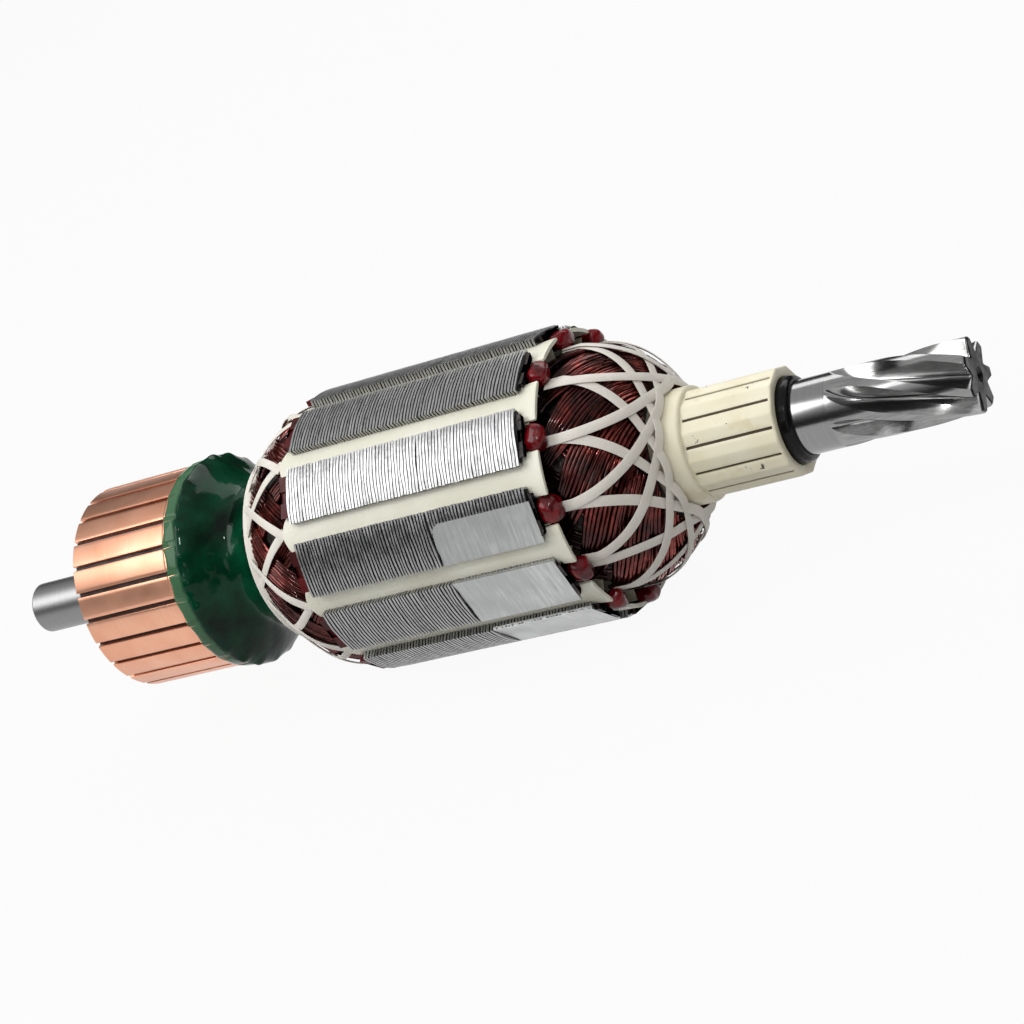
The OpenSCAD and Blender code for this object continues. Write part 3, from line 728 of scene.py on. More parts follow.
def tooth_outline(centre_turn, inset=0.0, flat_turn=None, lower=0.0, steps=14):
    """The end-view outline of a tooth's cap, as rows of y and z; a flat may cut its top."""
    def wing(radius):
        return radians(pitch / 2) - asin((slot_half + inset) / radius)

    top, under, stem = core_r - inset, core_r - tip_t + inset, stem_half - inset
    arc = [(top * sin(a), top * cos(a)) for a in np.linspace(-wing(top), wing(top), steps)]
    corner = (under * sin(wing(under)), under * cos(wing(under)))
    side = [corner, (stem, under - tip_slope), (stem, cap_low_r)]
    drawn = np.array(arc + side + [(-y, z) for y, z in side[::-1]])
    outline = np.column_stack(face_turn(drawn[:, 0], drawn[:, 1], centre_turn))
    if flat_turn is not None:
        up = at(0, 1, flat_turn)[1:]
        above = outline @ up - (core_r - cut_depth - lower)
        outline = outline - np.maximum(above, 0)[:, None] * up
    return outline


# %% One sheet of twelve caps
tooth_share = {0: 0.94, 1: 1.14, 2: 0.84, 3: 0.90, 11: 1.0}


def sheet_mesh(name, thickness, cut, inset=0.0, at_x=0.0, lower=0.05):
    """Twelve tooth caps as thin solids; in a thin sheet some teeth are pressed tighter."""
    points, faces = [], []
    for k in range(slots):
        outline = tooth_outline((k + 0.5) * pitch, inset, cut_turns.get(k) if cut else None, lower)
        first, n = len(points), len(outline)
        share = tooth_share.get(k, 1.0) if thickness < 1 else 1.0
        for x in (at_x, at_x + thickness * share):
            points += [(x, y, z) for y, z in outline]
        faces += grid_faces(2, n, first)
        faces += [tuple(range(first, first + n))[::-1], tuple(range(first + n, first + 2 * n))]
    return make_piece(name, points, faces, sharp=30)


# %% The stacking tree
def stack_tree():
    tree, given, result = new_tree("GeometryNodeTree", "stack_of_sheets", shared_inputs + [
        ("Start", "Float"), ("Pitch", "Float")], ("Geometry", "Geometry"))
    start = add(tree, "ShaderNodeCombineXYZ", {"X": given["Start"]}).outputs[0]
    step = add(tree, "ShaderNodeCombineXYZ", {"X": given["Pitch"]}).outputs[0]
    line = add(tree, "GeometryNodeMeshLine", {
        "Count": given["Count"], "Start Location": start, "Offset": step})
    return copy_to_points(tree, given, line.outputs[0], loose_turn(tree, given), result)


stack_of_sheets = stack_tree()

# %% Stack the sheets
sheets = 74
sheet_pitch = (core_end - core_start) / sheets
sheet_t = sheet_pitch * 0.62
bend_along, bend_across = 0.62 * MM, 0.08 * MM
bend_size_along, bend_size_across = 1.5 * MM, 4.5 * MM


def stack(name, first, last, cut, seed):
    """A stack of sheets between two stations."""
    count = int(round((last - first) / sheet_pitch))
    piece = sheet_mesh(name, sheet_t, cut)
    run_tree(piece, stack_of_sheets, {
        "Count": count, "Start": first * MM, "Pitch": (last - first) / count * MM,
        "Loose turn": radians(0.12), "Wobble": (bend_along, bend_across, bend_across),
        "Wobble scale": (1 / bend_size_along, 1 / bend_size_across, 1 / bend_size_across),
        "Seed": seed, "Material": finishes["lamination_steel"]}, sharp=30)
    dress(piece, "lamination_steel", "lamination_steel", "core")


margin = 0.12
stack("core_sheets", core_start + margin, cut_start, False, 11)
stack("core_sheets_cut", cut_start + margin / 2, core_end - margin, True, 12)

# %% [markdown]
# ## The body inside the stack
# Between two sheets you look into a dark gap. A plain body a little below the sheets' edges
# closes those gaps, so no light passes through the stack. Its near-black finish is painted
# shade for the gaps.

# %% Build the inner body
core_body = sheet_mesh("core_body", core_end - core_start - 0.1, True, 0.42, core_start + 0.05, lower=0.35)
# Its near-black finish is painted shade for the gaps between the sheets.
dress(core_body, "cut_end_steel", "lamination_steel", "core")

# %% [markdown]
# ## Balance cuts
# After winding, the armature is spun and metal is ground off its heavy side. Here three
# teeth carry a flat at the drive end, where the sheets are smeared to one smooth face. Each
# flat is a thin plate with its own ground finish, let into the lowered sheets.

# %% Build the ground flats
def make_ground_flat(tooth, flat_turn, columns=13, stations=33, flat_t=0.6):
    """A thin plate across one tooth; its start is ragged and may have a worn corner."""
    depth_r = core_r - cut_depth
    reach = degrees(acos(depth_r / core_r))
    wing = pitch / 2 - degrees(asin(slot_half / core_r))
    centre = (tooth + 0.5) * pitch
    low = max(centre - wing, flat_turn - reach) - flat_turn
    high = min(centre + wing, flat_turn + reach) - flat_turn
    across = depth_r * np.tan(np.radians(np.linspace(low, high, columns)))
    inside = low + flat_turn > centre - wing + 0.5
    corner = 1.8 * np.exp(-np.arange(columns) / 1.1) if inside else np.zeros(columns)
    rng = np.random.default_rng(tooth)
    rings = []
    for j, x in enumerate(np.linspace(cut_start, core_end - 0.06, stations)):
        shift = (rng.random(columns) - 0.5) * 0.3 + corner if j == 0 else corner * max(0, 1 - j / 5)
        top = np.column_stack([x + shift, across, np.full(columns, depth_r)])
        rings.append(np.vstack([top, top[::-1] - [0, 0, flat_t]]))
    rings = np.array(rings)
    rings[..., 1], rings[..., 2] = face_turn(rings[..., 1], rings[..., 2], flat_turn)
    return loft(f"balance_flat_{tooth + 1}", rings, sharp=30)


for tooth, flat_turn in cut_turns.items():
    dress(make_ground_flat(tooth, flat_turn), "ground_steel", "lamination_steel", "core")

# %% [markdown]
# ## Slot wedges
# A strip of cream plastic closes each slot and holds the wire in. It is slid in under the
# tooth tips and sticks out at both ends: round like a tongue at the commutator end, square
# and slightly flared at the drive end. One strip is lofted and copied round.

# %% One station of a wedge
wedge_out_r, wedge_in_r = 25.48, 24.58
wedge_half, flare = 3.7, 0.22
tongue_len, tail_len = 2.7, 2.9


def wedge_half_width(x):
    """Half the width of the strip at a station."""
    if x < core_start:
        back = (core_start - x) / tongue_len
        return wedge_half * sqrt(max(0.0, 1 - back ** 2.2)) + 0.02
    out = max(0.0, (x - core_end) / tail_len)
    return wedge_half + flare * min(1.0, out * 1.3)


def wedge_ring(x):
    """The section of the strip at a station, thinner outside the core."""
    half, t = wedge_half_width(x), np.linspace(-1, 1, 13)
    thin = 1.0 if core_start <= x <= core_end else 0.85
    top_r = wedge_out_r + 0.15 * max(0.0, (x - core_end) / tail_len)
    low_r = top_r - (wedge_out_r - wedge_in_r) * thin
    round_off = 0.18 * np.abs(t) ** 10
    top = at(x, top_r - round_off, np.degrees(t * half / top_r))
    low = at(x, low_r + round_off, np.degrees(t[::-1] * half / low_r * 0.995))
    return np.vstack([top, low])


# %% Build the wedges
def numbered(stem, count):
    """The names of a row of CAD nodes."""
    return [f"{stem}_{i:02d}" for i in range(1, count + 1)]


def make_wedges():
    tongue = core_start - tongue_len * np.cos(np.radians(np.linspace(0, 90, 11)))
    body = np.linspace(core_start + 1, core_end - 0.5, 30)
    tail = core_end + tail_len * np.linspace(0, 1, 8)
    rings = [wedge_ring(x) for x in (*tongue, *body, *tail)]
    centre = rings[-1].mean(axis=0)
    rings.append(centre + (rings[-1] - centre) * [1, 0.96, 0.9] + [0.12, 0, 0])
    return copy_round(loft("slot_wedges", rings, sharp=50), slots, "wedge", loose=0.25,
                      wobble_mm=(0.12, 0.04, 0.04), wobble_size=9.0, seed=3, sharp=50)


dress(make_wedges(), "wedge", "slot_wedge", *numbered("slot_wedge", slots))

# %% [markdown]
# ## Red lugs
# The end plates are dark red and carry a lug behind every tooth. Varnish has run over each
# lug and set as a glossy lump, long at the drive end and short at the commutator end. A
# lump is a rounded block: a ball whose directions are pushed towards a box.

# %% Build the end plates and the lumps
def make_end_plate(name, x, thickness, finish, node):
    """The part of an end plate that lies on the teeth, a little inside the core's edge."""
    dress(sheet_mesh(name, thickness, False, inset=1.3, at_x=x), finish, "red_insulator", node)


def rounded_block(name, centre, half, squareness, rows=14, cols=24):
    """A ball pushed towards a box, with its half sizes along, across and up."""
    points = []
    for v in np.linspace(-pi / 2, pi / 2, rows):
        for u in np.linspace(0, 2 * pi, cols, endpoint=False):
            raw = np.array([sin(v), cos(v) * cos(u), cos(v) * sin(u)])
            points.append(np.sign(raw) * np.abs(raw) ** squareness * half + centre)
    return make_piece(name, points, grid_faces(rows, cols), sharp=80)


def make_lumps(name, x, half, squareness, finish, wobble_mm, seed, node):
    """A ring of lumps; the longer a lump is, the lower it lies."""
    middle_r = 24.5 - 0.1 * half[0]
    block = rounded_block(name, np.array([x, 0, middle_r]), np.array(half), squareness)
    copy_round(block, slots, finish, first=pitch / 2, loose=0.8, wobble_mm=wobble_mm,
               wobble_size=2.6, seed=seed, sharp=80)
    dress(block, finish, "red_insulator", node)


# The drive plate wears the coil body's near-black painted shade.
make_end_plate("end_plate_drive", core_end + 0.02, 0.7, "coil_shadow", "end_insulator_drive")
make_end_plate("end_plate_commutator", core_start - 1.62, 1.6, "red_plate", "end_insulator_commutator")
make_lumps("lug_varnish_drive", core_end + 2.1, (2.1, 2.4, 1.8), 0.8,
           "red_insulator", (1.0, 0.9, 0.9), 5, "end_insulator_drive")
make_lumps("lug_varnish_commutator", core_start - 0.95, (0.95, 2.5, 1.7), 0.3,
           "red_plate", (0.3, 0.3, 0.4), 6, "end_insulator_commutator")

# %% [markdown]
# ## The wound ends
# Copper wire in dark red enamel leaves each slot, turns over the end in a bundle and goes
# down into another slot. The visible skin is a row of slanting bundles with dark valleys
# between them. A body in near-black painted shade is lathed first, and the wires are curves
# laid just above it, swept to round wire and copied round by the same tree as the wedges.

# %% The shape of the two ends
dome_middle = core_end + 2.7
dome_rise, dome_curve_r = 6.4, 15.8
neck_r, crown_r = 16.2, 24.4
crown_x = core_start - 4.0
coil_hole_r, coil_sunk = 8.2, 1.5
foot_turn, last_turn = 14, 66
coil_nodes = numbered("coil", slots)


def dome_point(angle):
    """Station and radius on the drive-end dome, from its foot (0) to its pole (90)."""
    a = np.radians(angle)
    return dome_middle + dome_curve_r * np.sin(a), dome_rise + dome_curve_r * np.cos(a)


def neck_radius(x):
    """Radius of the commutator-end winding at a station."""
    t = np.clip((x - resin_end) / (crown_x - resin_end), 0, 1)
    return neck_r + (crown_r - neck_r) * np.sin(t * pi / 2) ** 1.15


# %% Bodies in painted shade below the wires
def make_drive_body():
    foot = core_end + 1.9
    angles = np.linspace(0, last_turn, 20)
    xs, rs = dome_point(angles)
    a = np.radians(angles)
    skin = list(zip(xs - coil_sunk * np.sin(a), rs - coil_sunk * np.cos(a)))
    profile = [(foot, 12.0), (foot, 20.8)] + skin + [(xs[-1], coil_hole_r), (foot, coil_hole_r)]
    return lathe("coil_body_drive", profile, 96, closed=True)


def make_commutator_body():
    xs = np.linspace(resin_end + 0.05, core_start - 2.0, 24)
    skin = [(x, neck_radius(x) - coil_sunk) for x in xs]
    profile = [(xs[0], coil_hole_r)] + skin + [(xs[-1], coil_hole_r)]
    return lathe("coil_body_commutator", profile, 96, closed=True)


for body in (make_drive_body(), make_commutator_body()):
    dress(body, "coil_shadow", "enamelled_wire", *coil_nodes)

# %% [markdown]
# Each wire is a poly curve. Its path runs from the slot's mouth over the surface while its
# turn grows, fast in the middle and slowly near the slot. Neighbouring wires of a bundle
# lie a wire's width apart, and each sits a hair higher than the last, like shingles.

# %% Wires as curves
wire_r = 0.42
shingle, unruly = 0.05, 0.16


def curve_object(name, paths):
    """Several poly curves as one curve object, with a round profile."""
    data = bpy.data.curves.new(name, "CURVE")
    data.dimensions = "3D"
    data.bevel_depth = wire_r * MM
    data.bevel_resolution = 1
    data.use_fill_caps = True
    for path in paths:
        spline = data.splines.new("POLY")
        spline.points.add(len(path) - 1)
        spline.points.foreach_set("co", np.column_stack([path * MM, np.ones(len(path))]).ravel())
    return link(name, data)


def curve_to_piece(curve):
    """Turns a curve object into a mesh object; Blender adds .001 to its name."""
    piece = link(curve.name, plain_mesh(curve))
    bpy.data.objects.remove(curve)
    return piece


# %% Wires over the dome
def dome_wires(count, turn_total, lift, rng):
    """Paths of one bundle over the dome; the sign of the turn is the way it slants."""
    angles = np.linspace(-foot_turn, last_turn, 24)
    share = np.clip((angles + foot_turn) / (foot_turn + last_turn), 0, 1)
    a = np.radians(np.maximum(angles, 0))
    base_x, base_r = dome_point(np.maximum(angles, 0))
    base_x = base_x + np.minimum(angles, 0) / foot_turn * 4.0
    ramp = np.clip(share * 3.0, 0, 1)
    slot_gap, wire_gap, slant_angle, dive = 0.55, 0.86, 50, 0.9
    gathered = slot_gap + (wire_gap - slot_gap) * ramp
    slant = 1 - ramp * (1 - cos(radians(slant_angle)))
    paths = []
    for j in range(count):
        place = j - (count - 1) / 2
        spread = np.degrees(place * gathered / np.maximum(base_r, 12) / slant)
        height = lift + shingle * j + (rng.random() - 0.5) * unruly - dive * (1 - ramp) ** 2
        wave = np.sin(share * rng.uniform(5, 9) + rng.uniform(0, 6)) * 0.10
        turn = turn_total * share ** 1.25 + spread + wave * 2
        paths.append(at(base_x + (height + wave) * np.sin(a), base_r + (height + wave) * np.cos(a), turn))
    return paths


# %% Wires over the neck
def neck_wires(count, turn_total, lift, rng):
    """Paths of one bundle from the resin up to the core."""
    xs = np.linspace(resin_end - 0.6, core_start - 0.6, 18)
    share = (xs - xs[0]) / (xs[-1] - xs[0])
    core_gap, resin_gap, slant_angle = 0.58, 0.80, 38
    width = resin_gap + (core_gap - resin_gap) * share ** 3
    paths = []
    for j in range(count):
        place = j - (count - 1) / 2
        radius = neck_radius(xs) + lift + shingle * j + (rng.random() - 0.5) * unruly
        radius = np.where(xs > crown_x, radius - 0.5 * ((xs - crown_x) / 4.0) ** 2, radius)
        spread = np.degrees(place * width / radius / cos(radians(slant_angle)))
        wave = np.sin(share * rng.uniform(4, 8) + rng.uniform(0, 6)) * 0.12
        paths.append(at(xs, radius + wave, turn_total * (1 - share) ** 1.2 + spread + wave * 2))
    return paths


# %% Build the wires
def make_wires(name, bundle, under_turn, over_turn, finish, path_seed, ring_seed):
    """Two crossing bundles for one slot, copied round to all of them."""
    rng = np.random.default_rng(path_seed)
    under_lift, over_lift = -1.15, -0.42
    paths = bundle(6, under_turn, under_lift, rng) + bundle(8, over_turn, over_lift, rng)
    piece = curve_to_piece(curve_object(name, paths))
    copy_round(piece, slots, finish, loose=1.0, wobble_mm=(0.16, 0.16, 0.16), wobble_size=7.0,
               seed=ring_seed, sharp=60)
    dress(piece, finish, "enamelled_wire", *coil_nodes)


make_wires("dome_wires", dome_wires, 62, -84, "wire_drive", path_seed=7, ring_seed=21)
make_wires("neck_wires", neck_wires, 40, -46, "wire_neck", path_seed=8, ring_seed=22)

# %% [markdown]
# ## Lacing
# Flat tape is pulled over the wound ends to hold the turns against spinning out. At the
# drive end each tape runs from one slot to a slot a third of the way round and touches the
# sleeve's collar on its way, so the tapes form a net. One tape is lofted with a rounded
# flat section that keeps facing away from the winding, then copied round.

# %% A tape along a path
tape_w, strap_w, tape_t = 1.9, 1.6, 0.34


def make_tape(name, path, outs, width=tape_w):
    """A flat tape along a path, facing the given outward directions."""
    rings = []
    for i, out in enumerate(outs):
        run = path[min(i + 1, len(path) - 1)] - path[max(i - 1, 0)]
        run = run / np.linalg.norm(run)
        side = np.cross(run, out)
        side = side / np.linalg.norm(side)
        up = np.cross(side, run)
        a = np.radians(np.arange(0, 360, 36) + 18)
        flat = np.sign(np.cos(a)) * np.abs(np.cos(a)) ** 0.6 * width / 2
        rise = np.sin(a) * tape_t / 2 + tape_t / 2
        rings.append(path[i] + flat[:, None] * side + rise[:, None] * up)
    return loft(name, rings, sharp=50)


# %% Tapes over the dome
def make_dome_tapes():
    touch, foot, reach_in = 11.5, 21.9, 3.2
    half = sqrt(foot ** 2 - touch ** 2)
    s = half * np.sin(np.radians(np.linspace(-90, 90, 41)))
    radius = np.hypot(touch, s)
    turn = np.degrees(np.arctan2(s, touch))
    lean = np.sqrt(np.clip(1 - ((radius - dome_rise) / dome_curve_r) ** 2, 0, 1))
    x = dome_middle + dome_curve_r * lean + 1.3 * np.exp(-(s / 5.0) ** 2)
    away = at(lean, np.sqrt(np.maximum(0.0, 1 - lean * lean)), turn)
    over = 0.42 + 0.20 * np.tanh(s / 6.0)
    path = at(x, radius, turn) + away * over[:, None]
    path = np.vstack([path[0] - [reach_in, 0, 0], path, path[-1] - [reach_in, 0, 0]])
    away = np.vstack([away[:1], away, away[-1:]])
    return copy_round(make_tape("lacing_tapes_drive", path, away), slots, "tape", first=18, loose=3.5,
                      wobble_mm=(0.1, 0.45, 0.45), wobble_size=14.0, seed=31, sharp=50)


dress(make_dome_tapes(), "tape", "lacing_tape", "lacing_drive")


# %% Straps and band over the neck
def make_neck_strap(name, way, lift):
    """A strap from the core down to the neck, slanting one way."""
    xs = np.linspace(core_start - 2.6, resin_end + 1.2, 22)
    share = (xs[0] - xs) / (xs[0] - xs[-1])
    slope = (neck_radius(xs + 0.4) - neck_radius(xs - 0.4)) / 0.8
    size = np.hypot(1, slope)
    turn = way * 0.85 * pitch * share
    away = at(-slope / size, 1 / size, turn)
    strap = make_tape(name, at(xs, neck_radius(xs), turn) + away * lift, away, strap_w)
    return copy_round(strap, slots, "tape", loose=3.0, wobble_mm=(0.15, 0.4, 0.4), wobble_size=12.0,
                      seed=33 + way, sharp=50)


def make_neck_band():
    turns = np.arange(73) * 5.0
    x = resin_end + 1.6 + 0.35 * np.sin(np.radians(turns * 3))
    return make_tape("lacing_neck_band", at(x, neck_radius(x) + 0.6, turns), at(0, 1, turns))


straps = [make_neck_strap("lacing_straps_a", 1, 0.36), make_neck_strap("lacing_straps_b", -1, 0.62)]
for tape in (*straps, make_neck_band()):
    dress(tape, "tape", "lacing_tape", "lacing_commutator")

# %% [markdown]
# ## The commutator
# Twenty-four copper bars stand side by side round a moulded hub, with narrow dark slots
# between them. Each bar has a raised riser at its back, where the wires are hooked on. One
# bar is lofted across its width, its edges are bevelled, and it is copied round.

# %% Build the bars
bars = 24
bar_pitch = 360 / bars
first_slot = 2.5
bar_gap = 0.8
track_r, riser_h = 20.0, 0.4
skin_r = track_r + riser_h
riser_x = bar_start + 22.0
bar_root_r = track_r - 5.4


def make_bars():
    profile = [(bar_start + 0.25, bar_root_r + 1.2), (bar_start, track_r - 1.2), (bar_start, track_r),
               (riser_x - 0.2, track_r), (riser_x + 0.1, skin_r), (bar_end, skin_r),
               (bar_end, bar_root_r + 1.2)]
    xs, rs = np.array(profile).T
    half = bar_pitch / 2 - np.degrees(np.arcsin(bar_gap / 2 / rs))
    piece = loft("commutator_bars", [at(xs, rs, s * half) for s in np.linspace(-1, 1, 7)], sharp=30)
    bevel = piece.modifiers.new("edges", "BEVEL")
    bevel.width, bevel.segments = 0.16 * MM, 2
    bevel.limit_method, bevel.angle_limit = "ANGLE", radians(40)
    mesh = plain_mesh(piece)
    piece.modifiers.clear()
    piece.data = mesh
    return copy_round(piece, bars, "copper", first=first_slot + bar_pitch / 2, seed=41, sharp=35)


dress(make_bars(), "copper", "commutator_copper", *numbered("commutator_bar", bars))

# %% [markdown]
# ## The green resin
# The hooked wires behind the bars are drowned in thick green resin, which has sagged over
# each hook before it set. The skin is a lathe whose radius also depends on the turn: a bump
# for every hook, slow folds from noise, and a thin scalloped edge that creeps on the bars.

# %% Smooth seeded noise
def waves(x, turn, seed, count, reach):
    """A smooth sum of sines over station and turn, about -1 to 1."""
    rng = np.random.default_rng(seed)
    total = 0.0
    for _ in range(count):
        around = rng.integers(1, int(4 * reach))
        along = rng.uniform(0.1, 0.35) * reach
        total = total + np.sin(np.radians(turn) * around + x * along + rng.uniform(0, 6.28))
    return total / sqrt(count)


def points_mm(piece):
    """The points of a piece in millimetres."""
    return np.array([v.co for v in piece.data.vertices]) / MM


def paint(piece, name, values):
    """Paints a value on each point of a piece, for its material to read."""
    piece.data.attributes.new(name, "FLOAT", "POINT").data.foreach_set("value", values)


# %% The resin's skin
def resin_skin():
    """Stations and radii of the resin's skin: riser band, shoulder, waist and rise."""
    waist_r, waist_x, shoulder_x = 14.2, bar_end + 8.5, bar_end + 0.7
    band_x = riser_x + np.array([-0.25, 0, 0.3, 1.0, 1.9, 2.6, 2.95, 3.1, 3.25, 3.4, 3.55])
    band_r = skin_r + np.array([-0.38, -0.2, 0.05, 0.12, 0.15, 0.16, 0.12, -0.02, 0.02, 0.28, 0.38])
    t = np.linspace(0, 1, 30)
    fall_x = shoulder_x + (waist_x - shoulder_x) * t[1:]
    fall_r = waist_r + (skin_r + 0.4 - waist_r) * (1 + np.cos(pi * t[1:])) / 2
    rise_x = waist_x + (resin_end - waist_x) * t[3::3]
    rise_r = waist_r + (neck_r - waist_r) * (1 - np.cos(pi / 2 * t[3::3]))
    return np.concatenate([band_x, fall_x, rise_x]), np.concatenate([band_r, fall_r, rise_r])


# %% Build the resin
def resin_ring(x, r, turns):
    """One ring of the skin, with its scalloped edge, hooks, grooves and folds."""
    over_bar = 0.5 - 0.5 * np.cos(np.radians((turns - first_slot) * bars))
    edge = np.clip((riser_x + 1.2 - x) / 1.4, 0, 1)
    on_riser = np.clip((riser_x + 3.1 - x) / 0.4, 0, 1)
    ragged = np.exp(-((x - riser_x - 3.25) / 0.5) ** 2)
    shift = edge * (0.35 * over_bar + 0.16 * waves(0, turns, 3, 10, 3.0))
    shift = shift + ragged * 0.28 * waves(0, turns, 4, 12, 8.0)
    groove = on_riser * -0.24 * (over_bar < 0.1)
    uneven_hooks = 1 + 0.4 * waves(0, turns, 9, 8, 3.0)
    hook = np.exp(-((x - riser_x - 4.3) / 1.0) ** 2) * 0.34 * over_bar ** 2 * uneven_hooks
    fold_share = np.clip((x - riser_x - 3.4) / 3.0, 0, 1) * np.clip((resin_end - x) / 1.5, 0, 1)
    creases = 0.30 * np.abs(waves(x, turns, 5, 7, 1.3))
    slow, fine = 0.16 * waves(x, turns, 6, 9, 1.0), 0.06 * waves(x, turns, 7, 12, 5.0)
    return at(x + shift, r + groove + hook + fold_share * (creases + slow + fine - 0.1), turns)


def make_resin():
    turns = np.arange(480) * 360 / 480
    rings = [resin_ring(x, r, turns) for x, r in zip(*resin_skin())]
    inner_r, under = 7.9, skin_r - 0.02
    stop = bar_end + 0.05
    for x, r in ((resin_end, inner_r), (stop, inner_r), (stop, under), (riser_x + 0.2, under)):
        rings.append(at(x, r, turns))
    return loft("green_resin_neck", rings, sharp=60, closed=True)


resin = make_resin()
paint(resin, "thin_edge", np.clip((riser_x + 3.2 - points_mm(resin)[:, 0]) / 0.3, 0, 1))
dress(resin, "green_resin", "green_resin", "riser_resin")

# %% [markdown]
# ## The cream sleeve
# The sleeve carries the cooling fan: a smooth collar against the winding and a long
# twelve-sided part with a narrow groove down each side. Its section changes with the turn,
# so it is a loft of rings: round for the collar, faceted with grooves for the rest.

# %% One station of the sleeve
sides = 12
collar_r, rib_r, groove_w, groove_depth = 10.5, 9.85, 0.5, 0.5
collar_end = sleeve_start + 9.0
groove_turn = 6.0
sleeve_bore = 7.74
flat_r = rib_r * cos(radians(180 / sides))
groove_edge = degrees(groove_w / 2 / flat_r)
half_side = [groove_edge - 0.1, groove_edge + 0.15, groove_edge + 0.8, 6, 10, 13.5]
side_turns = np.array([-180 / sides] + [-t for t in half_side[::-1]] + half_side)
sleeve_turns = (groove_turn + np.arange(sides)[:, None] * 30 + side_turns).ravel()


def ribbed_ring(x, scale=1.0, grooved=False):
    """A twelve-sided section, with or without its grooves."""
    off = np.abs(side_turns)
    radius = flat_r / np.cos(np.radians(np.clip(off, 0, 14.2)))
    if grooved:
        radius = np.where(off < groove_edge, flat_r - groove_depth, radius)
        radius = np.where(np.abs(off - groove_edge - 0.15) < 0.01, radius - 0.05, radius)
    return at(x, np.tile(radius, sides) * scale, sleeve_turns)


# %% Build the sleeve
def make_sleeve():
    """Rings from the bore over the collar and the ribbed part to the rounded mouth."""
    def round_ring(x, r):
        return at(x, r, sleeve_turns)

    def quarter(steps):
        return np.radians(np.linspace(0, 90, steps))

    round_r, mouth_r = 0.7, 0.35
    rings = [round_ring(sleeve_start, sleeve_bore), round_ring(sleeve_start, collar_r - 0.3),
             round_ring(sleeve_start + 0.3, collar_r)]
    rings += [round_ring(collar_end - round_r + round_r * sin(a), collar_r - round_r + round_r * cos(a))
              for a in quarter(6)]
    rings += [ribbed_ring(collar_end + 0.02, 1.004), ribbed_ring(collar_end + 0.32)]
    grooved = [collar_end + 0.42, *np.linspace(collar_end + 2, sleeve_end - 1.2, 9), sleeve_end - 0.62]
    rings += [ribbed_ring(x, grooved=True) for x in grooved]
    rings += [ribbed_ring(sleeve_end - 0.52)]
    rings += [ribbed_ring(sleeve_end - mouth_r + mouth_r * sin(a), 1 - 0.035 * (1 - cos(a)))
              for a in quarter(5)]
    rings += [round_ring(sleeve_end, sleeve_bore + 0.3), round_ring(sleeve_end - 0.1, sleeve_bore + 0.08),
              round_ring(sleeve_end - 0.3, sleeve_bore)]
    return loft("cream_sleeve", rings, sharp=38, closed=True)


def groove_shade_floor(piece):
    """Marks the floor of the grooves, which the sleeve's material darkens as painted shade."""
    x, y, z = points_mm(piece).T
    low = np.hypot(y, z) < flat_r - 0.3
    inside = (x > collar_end + 0.35) & (x < sleeve_end - 0.45)
    return (low & inside).astype(float)


sleeve = make_sleeve()
paint(sleeve, "groove", groove_shade_floor(sleeve))
dress(sleeve, "sleeve", "sleeve_plastic", "fan_sleeve")

# %% [markdown]
# ## Parts kept from the CAD
# The hub, the bush and the paper liners already have the right shape, and only slivers of
# them show. They keep their CAD meshes and just get better finishes.

# %% Dress the CAD parts
kept = {"commutator_hub": "hub", "commutator_bush": "bush_steel", "slot_liners": "paper"}


def dress_cad(name, finish):
    """Puts a finish on every material slot of a CAD node's object."""
    for thing in bpy.data.objects:
        if thing.type == "MESH" and thing.name.split(".")[0] == name:
            for place in thing.material_slots:
                place.material = finishes[finish]
            if not thing.material_slots:
                thing.data.materials.append(finishes[finish])
            print(name, "wears", finish)


for name, finish in kept.items():
    dress_cad(name, finish)

# %% [markdown]
# ## Floor, light and camera
# The armature rests on a pale floor under the core. The floor mixes a soft lit surface with
# a plain white for the rays that come from the camera or a reflection, so it reads as a
# white page and still keeps the shadow. A white sky that is darker near the horizon and
# five soft lamps do the rest.

# %% Floor
def floor_material(grey, white_share):
    """Mixes a lit grey with a plain white that the camera and reflections see."""
    material = bpy.data.materials.new("pale_floor")
    material.use_nodes = True
    tree = material.node_tree
    tree.nodes.clear()
    lit = add(tree, "ShaderNodeBsdfDiffuse", {"Color": (grey, grey, grey, 1)})
    white = add(tree, "ShaderNodeEmission", {"Color": (1, 1, 1, 1), "Strength": 1.0})
    ray = add(tree, "ShaderNodeLightPath").outputs
    seen = math_node(tree, "MAXIMUM", ray["Is Camera Ray"], ray["Is Glossy Ray"])
    seen = math_node(tree, "MAXIMUM", seen, ray["Is Transmission Ray"])
    share = math_node(tree, "MULTIPLY", seen, white_share)
    mix = add(tree, "ShaderNodeMixShader", {0: share, 1: lit.outputs[0], 2: white.outputs[0]})
    add(tree, "ShaderNodeOutputMaterial", {"Surface": mix.outputs[0]})
    return material


def make_floor(size=6.0):
    z = -core_r * MM
    mesh = bpy.data.meshes.new("floor")
    corners = [(-size, -size, z), (size, -size, z), (size, size, z), (-size, size, z)]
    mesh.from_pydata(corners, [], [(0, 1, 2, 3)])
    mesh.materials.append(floor_material(0.42, 0.94))
    link("floor", mesh)


make_floor()


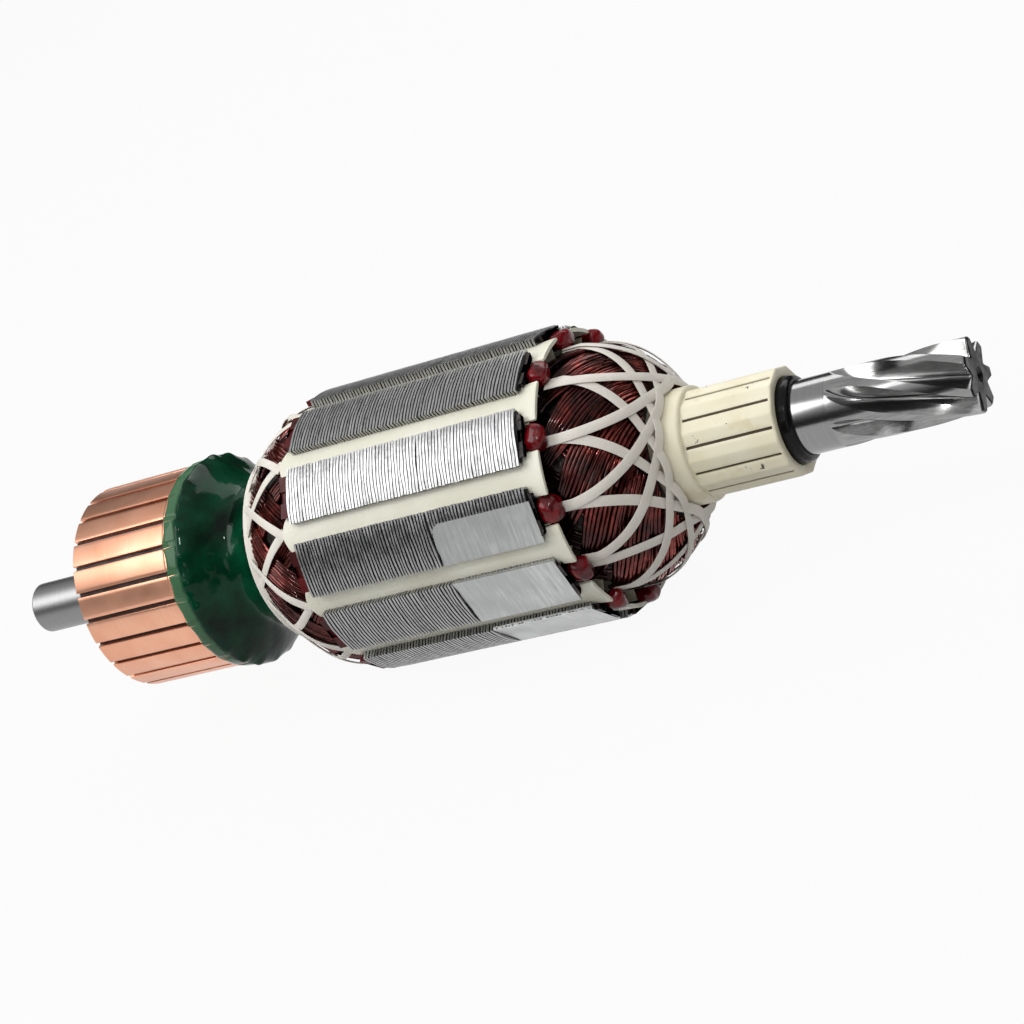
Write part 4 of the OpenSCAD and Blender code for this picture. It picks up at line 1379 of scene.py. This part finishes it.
# %% Sky
def make_sky(horizon, overhead, low=0.22, high=0.85):
    """A plain white sky, darker near the horizon so that metal shows some contrast."""
    world = bpy.data.worlds.new("studio")
    world.use_nodes = True
    tree = world.node_tree
    view = add(tree, "ShaderNodeTexCoord").outputs["Generated"]
    up = add(tree, "ShaderNodeSeparateXYZ", {0: view}).outputs["Z"]
    level = add(tree, "ShaderNodeMapRange", {
        "Value": up, "From Min": low, "From Max": high, "To Min": horizon, "To Max": overhead},
        interpolation_type="SMOOTHSTEP")
    tree.links.new(level.outputs[0], tree.nodes["Background"].inputs["Strength"])
    tree.nodes["Background"].inputs["Color"].default_value = (1, 1, 1, 1)
    bpy.context.scene.world = world


make_sky(0.04, 0.75)


# %% Lamps
lamp_target = Vector((0.075, 0, 0))


def add_lamp(name, way, distance, width, height, power):
    """A soft lamp in a direction from the part's middle, facing it."""
    data = bpy.data.lights.new(name, "AREA")
    data.shape, data.size, data.size_y, data.energy = "RECTANGLE", width, height, power
    lamp = link(name, data)
    lamp.location = lamp_target + Vector(way).normalized() * distance
    lamp.rotation_euler = (lamp_target - lamp.location).to_track_quat("-Z", "Y").to_euler()


add_lamp("key", (-0.58, -0.42, 0.70), 0.9, 0.6, 0.62, 4.9)
add_lamp("front", (0.45, -0.85, 0.30), 0.9, 0.3, 0.3, 0.4)
add_lamp("spark", (0.22, -0.50, 0.80), 0.9, 0.06, 0.06, 1.0)
add_lamp("strip", (0.0, -0.80, 0.60), 0.9, 0.25, 0.08, 0.25)
add_lamp("back", (0.1, 0.75, 0.65), 0.8, 0.9, 0.3, 2.0)


# %% Camera
def make_camera():
    """A long lens, tipped so that the shaft climbs to the right."""
    data = bpy.data.cameras.new("camera")
    data.lens, data.sensor_width = 89.2, 36.0
    data.clip_start, data.clip_end = 0.01, 20.0
    right = Vector((0.853727, 0.310483, -0.418033))
    up = Vector((0.210270, 0.528879, 0.822236))
    back = Vector((0.476380, -0.789864, 0.386233))
    camera = link("camera", data)
    turned = Matrix((right, up, back)).transposed().to_4x4()
    camera.matrix_world = Matrix.Translation(Vector((306.8, -367.5, 175.6)) * MM) @ turned
    bpy.context.scene.camera = camera


make_camera()
bpy.context.scene.view_settings.view_transform = "Standard"
